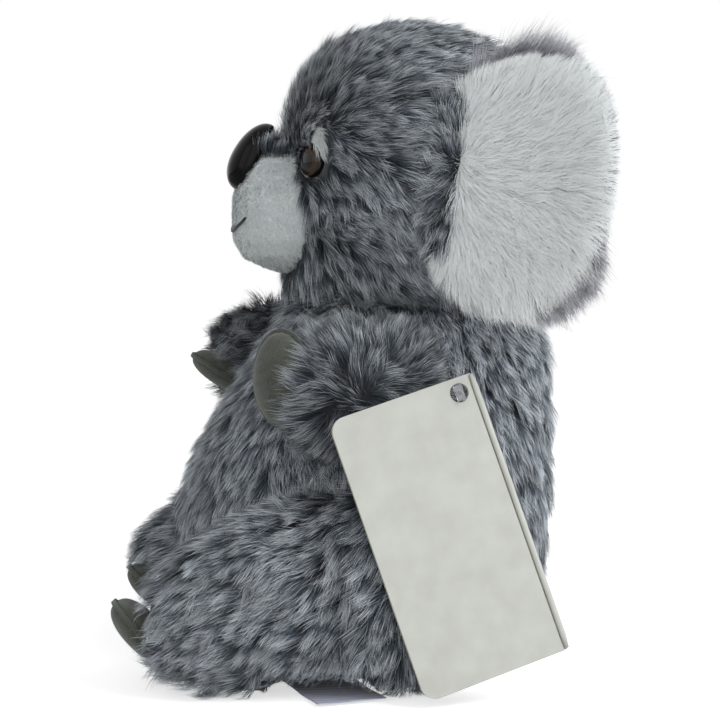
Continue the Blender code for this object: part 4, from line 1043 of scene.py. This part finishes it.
# %% Domed eyes
EYE_RADIUS, EYE_RIM, EYE_RISE, EYE_STEM_RADIUS, EYE_STEM_LENGTH = 4.6, 0.7, 2.7, 2.0, 12.0
EYE_POINTS, EYE_STEPS = 64, 22
EYE_PROFILE = [(EYE_STEM_RADIUS, -EYE_STEM_LENGTH), (EYE_STEM_RADIUS, 0.0), (4.2, 0.0), (4.55, 0.25)]
for step in range(EYE_STEPS):
    rise = math.pi / 2 * step / (EYE_STEPS + 0.4)
    EYE_PROFILE.append((EYE_RADIUS * math.cos(rise), EYE_RIM + EYE_RISE * math.sin(rise)))


def eye_piece(word, side):
    """One eye, with the distance of each point to its axis."""
    x, y, z = EYE_MIDDLE
    outward = (side * math.sin(EYE_TURN), -math.cos(EYE_TURN), 0)
    place = local_frame((side * x, y, z), (0, 0, 1), outward)
    rings = [[place @ (Vector((r * math.cos(a), r * math.sin(a), h)) * MM) for a in full_circle(EYE_POINTS)]
             for r, h in EYE_PROFILE]
    eye = link(bpy.data.objects.new("eye_dome_" + word, ring_mesh("eye_dome_" + word, rings)))
    inverse, points = place.inverted(), eye.data.vertices
    reaches = [min(1.0, math.hypot(*(inverse @ point.co).xy) / (EYE_RADIUS * MM)) for point in points]
    eye.data.attributes.new("reach", "FLOAT", "POINT").data.foreach_set("value", reaches)
    return put(dress(eye, EYE_PLASTIC), "head", "amber_plastic", "eye_" + word)


eyes = [eye_piece(word, side) for word, side in SIDES.items()]
print("eye faces:", [len(eye.data.polygons) for eye in eyes])

# %% [markdown]
# ## The mouth
# The mouth is one thick dark thread laid on the muzzle and drawn in, so it lies low in the short pile.

# %% The mouth's thread
MOUTH_HALF_WIDTH, MOUTH_CORNER_HEIGHT, MOUTH_DIP, MOUTH_THREAD_RADIUS = 10.6, 126.4, 3.6, 0.42
MOUTH_SPREAD, MOUTH_OUT = 0.25, 0.75
muzzle_tree = tree_of([skin_arrays["muzzle"]])


def tube_mesh(name, route, radius, rounds=10):
    """A closed round tube along a route of points."""
    rings, last = [], len(route) - 1
    for index, point in enumerate(route):
        run = (route[min(index + 1, last)] - route[max(index - 1, 0)]).normalized()
        across = run.orthogonal() if index == 0 else across - run * across.dot(run)
        across = across.normalized()
        up = run.cross(across)
        end = 0.55 if index in (0, last) else 1
        rings.append([point + (across * math.cos(a) + up * math.sin(a)) * radius * end
                      for a in full_circle(rounds)])
    return ring_mesh(name, rings)


mouth_route = []
for share in np.linspace(-1, 1, 41):
    x, z = MOUTH_HALF_WIDTH * share * MM, (MOUTH_CORNER_HEIGHT - MOUTH_DIP * (1 - share ** 2)) * MM
    hit = muzzle_tree.ray_cast(Vector((x, -0.1, z)), Vector((0, 1, 0)))[0]
    mouth_route.append(hit + Vector((MOUTH_SPREAD * share, -MOUTH_OUT, 0)) * MM)
mouth_mesh = tube_mesh("mouth_thread", mouth_route, MOUTH_THREAD_RADIUS * MM)
mouth = dress(link(bpy.data.objects.new("mouth_thread", mouth_mesh)), THREAD)
put(mouth, "head", "dark_thread", "mouth_stitch")
print("mouth from", [round(v / MM, 1) for v in mouth_route[0]])

# %% [markdown]
# ## Felt paws and feet
# Each paw is two felt shells, lightly filled and sewn edge to edge about 1 mm in, with the raw edge left
# outside. The stitches are real threads that sink into the felt on both faces of the edge.

# %% Felt lobes
FELT_HALF_THICK, FELT_EDGE, FELT_EDGE_HALF_THICK, LOBE_POINTS, LOBE_STEPS = 0.62, 1.0, 0.70, 96, 14


def lobe_mesh(name, place, half_length, half_width, half_thick, seed):
    """Two domed shells that meet in a thin, slightly wavy raw edge."""
    rng = np.random.default_rng(seed)
    waves = [(rng.uniform(0.03, 0.10), count, rng.uniform(0, 6.28)) for count in (3, 5, 8, 13)]
    shell = [(FELT_EDGE / half_length, FELT_HALF_THICK),
             (0.85 * FELT_EDGE / half_length, FELT_EDGE_HALF_THICK), (0.0, FELT_HALF_THICK)]
    shell += [(math.cos(t) ** 0.8 - 1, FELT_HALF_THICK + (half_thick - FELT_HALF_THICK) * math.sin(t))
              for t in np.linspace(0.06, math.pi / 2 - 0.12, LOBE_STEPS)]
    both = [(grow_out, -depth) for grow_out, depth in shell[::-1]] + shell
    rings = []
    for grow_out, depth in both:
        ring = []
        edge = max(0.0, min(1.0, 1 + grow_out * 4)) if grow_out < 0 else 1.0
        stretch = half_length / (half_width if grow_out > 0 else half_length)
        for angle in full_circle(LOBE_POINTS):
            wave = sum(size * math.sin(count * angle + shift) for size, count, shift in waves)
            across = math.cos(angle) * half_width * (1 + grow_out * stretch)
            up = math.sin(angle) * half_length * (1 + grow_out)
            ring.append(place @ (Vector((across, depth + wave * edge, up)) * MM))
        rings.append(ring)
    return ring_mesh(name, rings)


print("rings in a lobe:", 2 * (LOBE_STEPS + 3))

# %% Stitches, paws and feet
STITCH_PITCH, STITCH_RADIUS, STITCH_SHARES = 2.4, 0.19, (0.12, 0.78)
STITCH_LIFTS = (0.35, 0.66, 0.80, 0.84, 0.80, 0.66, 0.35)


def stitch_mesh(name, place, half_length, half_width):
    """A running stitch on the lobe's outline, just inside the raw edge, on both faces."""
    form = bmesh.new()
    around = np.linspace(0, 2 * math.pi, 721)
    line = np.stack([np.cos(around) * (half_width + 0.05), np.sin(around) * (half_length + 0.05)], 1)
    steps = np.concatenate([[0], np.cumsum(np.linalg.norm(np.diff(line, axis=0), axis=1))])
    count = int(steps[-1] / STITCH_PITCH)
    for number in range(count):
        marks = (number + np.linspace(*STITCH_SHARES, len(STITCH_LIFTS))) * steps[-1] / count
        for way in (-1, 1):
            route = []
            for mark, lift in zip(marks, STITCH_LIFTS):
                x, z = np.interp(mark, steps, line[:, 0]), np.interp(mark, steps, line[:, 1])
                route.append(place @ (Vector((x, way * lift, z)) * MM))
            one = tube_mesh(name, route, STITCH_RADIUS * MM, 8)
            form.from_mesh(one)
            bpy.data.meshes.remove(one)
    mesh = bpy.data.meshes.new(name)
    form.to_mesh(mesh)
    form.free()
    mesh.shade_smooth()
    return mesh


def felt_piece(node, body, place, sizes, seed):
    """One felt lobe with its running stitch."""
    lobe, thread = node + "_felt", node + "_stitches"
    felt = dress(link(bpy.data.objects.new(lobe, lobe_mesh(lobe, place, *sizes, seed))), FELT)
    put(felt, body, "felt", node)
    stitches = link(bpy.data.objects.new(thread, stitch_mesh(thread, place, *sizes[:2])))
    put(dress(stitches, FELT_THREAD), body, "felt")
    return felt


for number, (node, (place, sizes)) in enumerate(LOBES.items()):
    limb = node.replace("paw", "arm").replace("foot", "leg")
    felt = felt_piece(node, limb, place, sizes, 80 + number)
print("felt faces:", len(felt.data.polygons))

# %% [markdown]
# ## The seat
# Under the koala is an oval of short brushed cloth, sewn in flat so that the toy sits well.

# %% The seat's cloth
seat = plush_skin("seat_panel", "torso", "seat_cloth", SEAT_CLOTH, 0.5, 2)
print("seat faces:", len(seat.data.polygons))

# %% [markdown]
# ## Card, satin and nylon
# The hang tag is coated card, smooth with a faint mottle, and its cut edges show the paler, rougher core.
# The label is woven satin, whose long floats give it a soft sheen. The fastener is clear nylon.

# %% Card, satin and nylon
def card_finish(name):
    """Coated card: a faint mottle of about 6 mm, fine fibres of 0.3 mm and a satin surface."""
    finish, shader = new_finish(name, {"Roughness": 0.48, "IOR": 1.5, "Coat Weight": 0.15,
                                       "Coat Roughness": 0.35})
    place = add(finish, "TexCoord")
    mottle = add(finish, "TexNoise", {"Scale": 1 / (6 * MM), "Detail": 3.0},
                 {"Vector": place.outputs["Object"]})
    fibres = add(finish, "TexNoise", {"Scale": 1 / (0.3 * MM), "Detail": 3.0},
                 {"Vector": place.outputs["Object"]})
    spread = add(finish, "MapRange", {"From Min": 0.3, "From Max": 0.7}, {"Value": mottle.outputs[0]})
    paper = add(finish, "Mix", {"data_type": "RGBA", 6: linear("#b5b7b0"), 7: linear("#bfc1bb")},
                {0: spread.outputs[0]})
    bump = add(finish, "Bump", {"Strength": 0.25, "Distance": 0.02 * MM}, {"Height": fibres.outputs[0]})
    feed(finish, shader, "Base Color", paper.outputs[2])
    feed(finish, shader, "Normal", bump.outputs[0])
    return finish


def satin_finish(name):
    """Woven satin: fine floats across the ribbon, drawn at 0.4 mm so that they show, with a soft sheen."""
    finish, shader = new_finish(name, {"Roughness": 0.36, "Specular IOR Level": 0.5, "Sheen Weight": 0.3})
    place = add(finish, "TexCoord")
    bands_per_unit = 20
    bands = add(finish, "TexWave", {"wave_type": "BANDS", "bands_direction": "X", "Distortion": 0.6,
                                    "Scale": 1 / (0.4 * MM) / bands_per_unit, "Detail": 1.0},
                {"Vector": place.outputs["Object"]})
    cloth = add(finish, "Mix", {"data_type": "RGBA", 6: linear("#959cb4"), 7: linear("#bec5d8")},
                {0: bands.outputs[0]})
    bump = add(finish, "Bump", {"Strength": 0.4, "Distance": 0.04 * MM}, {"Height": bands.outputs[0]})
    feed(finish, shader, "Base Color", cloth.outputs[2])
    feed(finish, shader, "Normal", bump.outputs[0])
    return finish


CARD = card_finish("coated_card")
CARD_EDGE = cloth_finish("cut_card_edge", "#a39f8c", "#bcb8a6", 0.3, 0.03, 0.8, 0.0)
SATIN = satin_finish("woven_satin")
NYLON, _ = new_finish("clear_nylon", {"Base Color": linear("#e6e9ea"), "Roughness": 0.22, "IOR": 1.53,
                                      "Transmission Weight": 0.85})
print("card and ribbon:", CARD.name, CARD_EDGE.name, SATIN.name, NYLON.name)

# %% [markdown]
# ## The hang tag
# The tag is one card, folded once, punched through both leaves and hung on a clear nylon fastener. It is
# left bare. The two leaves are pieces of their own, because the front one opens, and a round strip between
# them is the fold.

# %% The tag's leaves
TAG_WIDTH, TAG_LENGTH, TAG_TOP, FOLD_AT, FOLD_RADIUS, FOLD_EASE = 40, 76, 4.0, 4.8, 0.86, 0.3
TAG_CORNER, TAG_HOLE_RADIUS, LEAF_THICK = 4, 2.5, 0.5
TAG_BOTTOM = TAG_TOP - TAG_LENGTH


def leaf_outline(fold_mm):
    """One leaf from its fold to its round free corners, and its punched hole."""
    free = FOLD_AT - TAG_WIDTH + TAG_CORNER
    outline = [(fold_mm, TAG_BOTTOM), (fold_mm, TAG_TOP)]
    for centre, start in ((TAG_TOP - TAG_CORNER, math.pi / 2), (TAG_BOTTOM + TAG_CORNER, math.pi)):
        outline += [(free + TAG_CORNER * math.cos(start + t), centre + TAG_CORNER * math.sin(start + t))
                    for t in np.linspace(0, math.pi / 2, 13)]
    hole = [(TAG_HOLE_RADIUS * math.cos(t), TAG_HOLE_RADIUS * math.sin(t)) for t in full_circle(48)]
    return outline, hole


def leaf_piece(node, body, low_mm, fold_mm):
    """One leaf of the card, with coated faces and a raw core at its cut edges."""
    form = bmesh.new()
    loops = []
    for points in leaf_outline(fold_mm):
        verts = [form.verts.new((x, y, low_mm)) for x, y in points]
        loops += [form.edges.new((verts[i], verts[(i + 1) % len(verts)])) for i in range(len(verts))]
    bmesh.ops.triangle_fill(form, use_beauty=True, use_dissolve=False, edges=loops)
    made = bmesh.ops.extrude_face_region(form, geom=list(form.faces))["geom"]
    raised = [item for item in made if isinstance(item, bmesh.types.BMVert)]
    bmesh.ops.translate(form, verts=raised, vec=(0, 0, LEAF_THICK))
    bmesh.ops.recalc_face_normals(form, faces=form.faces)
    for vert in form.verts:
        vert.co = TAG @ (vert.co * MM)
    mesh = bpy.data.meshes.new(node + "_card")
    form.to_mesh(mesh)
    form.free()
    mesh.materials.append(CARD)
    mesh.materials.append(CARD_EDGE)
    facing = TAG.to_3x3().col[2]
    for face in mesh.polygons:
        face.material_index = 0 if abs(face.normal.dot(facing)) > 0.7 else 1
    return put(link(bpy.data.objects.new(node + "_card", mesh)), body, "card", node)


print("the tag in mm:", TAG_WIDTH, "x", TAG_LENGTH)

# %% The folded tag on its pin
rear = leaf_piece("tag_back_leaf", "tag", -0.8, FOLD_AT)
front = leaf_piece("tag_front_leaf", "tag_front", 0.3, 3.6)
fold_heights = np.linspace(TAG_BOTTOM + FOLD_EASE, TAG_TOP - FOLD_EASE, 24)
fold_mesh = tube_mesh("tag_fold", [TAG @ (Vector((FOLD_AT, y, 0)) * MM) for y in fold_heights],
                      FOLD_RADIUS * MM, 16)
put(dress(link(bpy.data.objects.new("tag_fold", fold_mesh)), CARD), "tag", "card")
dress(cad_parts["tag_pin"], NYLON)
print("leaf faces:", len(rear.data.polygons), len(front.data.polygons))

# %% [markdown]
# ## The sewn-in label
# A short satin ribbon is caught in the thigh's seam and lies on the floor. It is a sheet, cut 19 by 33 mm,
# with a slight wave where it leaves the seam.

# %% The ribbon
LABEL_WIDTH, LABEL_LENGTH, LABEL_THICK, LABEL_ROWS, LABEL_COLUMNS = 19, 33, 0.2, 40, 20
LABEL = turned_place((35, -22, 0.4), (11, "Z"))


def ribbon_height(x):
    """How high the ribbon lies, at a distance from its hidden end: level, then in a slight wave."""
    level, wave, wave_length, wave_from, wave_full_after = 0.32, 0.22, 4.2, 12, 8
    return level + wave * math.sin(x / wave_length) * min(1, max(0, (x - wave_from) / wave_full_after))


ribbon = bmesh.new()
grid = [[ribbon.verts.new(LABEL @ (Vector((x, y, ribbon_height(x))) * MM))
         for y in np.linspace(-LABEL_WIDTH / 2, LABEL_WIDTH / 2, LABEL_COLUMNS)]
        for x in np.linspace(0, LABEL_LENGTH, LABEL_ROWS)]
for low, high in zip(grid, grid[1:]):
    for column in range(LABEL_COLUMNS - 1):
        ribbon.faces.new((low[column], high[column], high[column + 1], low[column + 1]))
mesh = bpy.data.meshes.new("label_ribbon")
ribbon.to_mesh(mesh)
ribbon.free()
mesh.shade_smooth()
label = link(bpy.data.objects.new("label_ribbon", mesh))
thick = label.modifiers.new("thickness", "SOLIDIFY")
thick.thickness, thick.offset = LABEL_THICK * MM, 0
made_final(label).data.materials.append(SATIN)
put(label, "leg_left", "satin", "sewn_label")
print("ribbon faces:", len(label.data.polygons))

# %% [markdown]
# ## What is hidden
# The washers and the bag of pellets are inside. The washers keep the shape that they came with. They still
# get their real finishes, because the model may be opened.

# %% Hidden pieces
for node in ("nose_washer", "eye_washer_left", "eye_washer_right"):
    dress(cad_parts[node], WASHER_PLASTIC)
bag = plush_skin("pellet_bag", "torso", "bag_cloth", BAG_CLOTH, 0.9, 3)
print("bag faces:", len(bag.data.polygons))

# %% [markdown]
# ## Studio
# One wide soft lamp stands behind the koala and to the camera's side, as in the picture, and a weaker one
# lights the near side. The background is white for the camera and for mirror-like surfaces, while what
# lights the koala stays at a plain level. The floor is white to the camera too but keeps the shadow.

# %% Floor
FLOOR_HALF, FLOOR_GLOW = 3, 0.62
floor_mesh = bpy.data.meshes.new("floor")
floor_corners = [(x * FLOOR_HALF, y * FLOOR_HALF, 0) for x, y in ((-1, -1), (1, -1), (1, 1), (-1, 1))]
floor_mesh.from_pydata(floor_corners, [], [(0, 1, 2, 3)])
floor = link(bpy.data.objects.new("floor", floor_mesh))
floor_finish, shader = new_finish("white_floor", {"Base Color": linear("#e6e6e6"), "Roughness": 0.9,
                                                  "Specular IOR Level": 0.1, "Emission Color": (1, 1, 1, 1)})
rays = add(floor_finish, "LightPath")
glow = add(floor_finish, "MapRange", {"To Max": FLOOR_GLOW}, {"Value": rays.outputs["Is Camera Ray"]})
feed(floor_finish, shader, "Emission Strength", glow.outputs[0])
floor_mesh.materials.append(floor_finish)
print("floor side in m:", 2 * FLOOR_HALF)

# %% Background and lamps
PLAIN_LIGHT = 0.50
world = bpy.data.worlds.new("studio")
bpy.context.scene.world = world
world.use_nodes = True
world.node_tree.nodes.clear()
rays = add(world, "LightPath")
seen = add(world, "Math", {"operation": "MAXIMUM"},
           {0: rays.outputs["Is Camera Ray"], 1: rays.outputs["Is Glossy Ray"]})
seen = add(world, "Math", {"operation": "MAXIMUM"},
           {0: seen.outputs[0], 1: rays.outputs["Is Transmission Ray"]})
plain = add(world, "Background", {"Color": (1, 1, 1, 1), "Strength": PLAIN_LIGHT})
white = add(world, "Background", {"Color": (1, 1, 1, 1), "Strength": 1.0})
mixed = add(world, "MixShader", None, {0: seen.outputs[0], 1: plain.outputs[0], 2: white.outputs[0]})
add(world, "OutputWorld", None, {"Surface": mixed.outputs[0]})


def lamp(name, place, size, power):
    """A square soft lamp that points at the koala, its place and size in metres and its power in watts."""
    data = bpy.data.lights.new(name, "AREA")
    data.size, data.energy = size, power
    held = link(bpy.data.objects.new(name, data))
    held.location = place
    held.rotation_mode = "QUATERNION"
    held.rotation_quaternion = (Vector(place) - AIM).to_track_quat("Z", "Y")
    return held


lamp("key_lamp", (0.42, 0.62, 0.74), 0.6, 7.6)
lamp("fill_lamp", (0.75, -0.35, 0.35), 0.8, 1.9)
bpy.context.scene.view_settings.view_transform = "Standard"
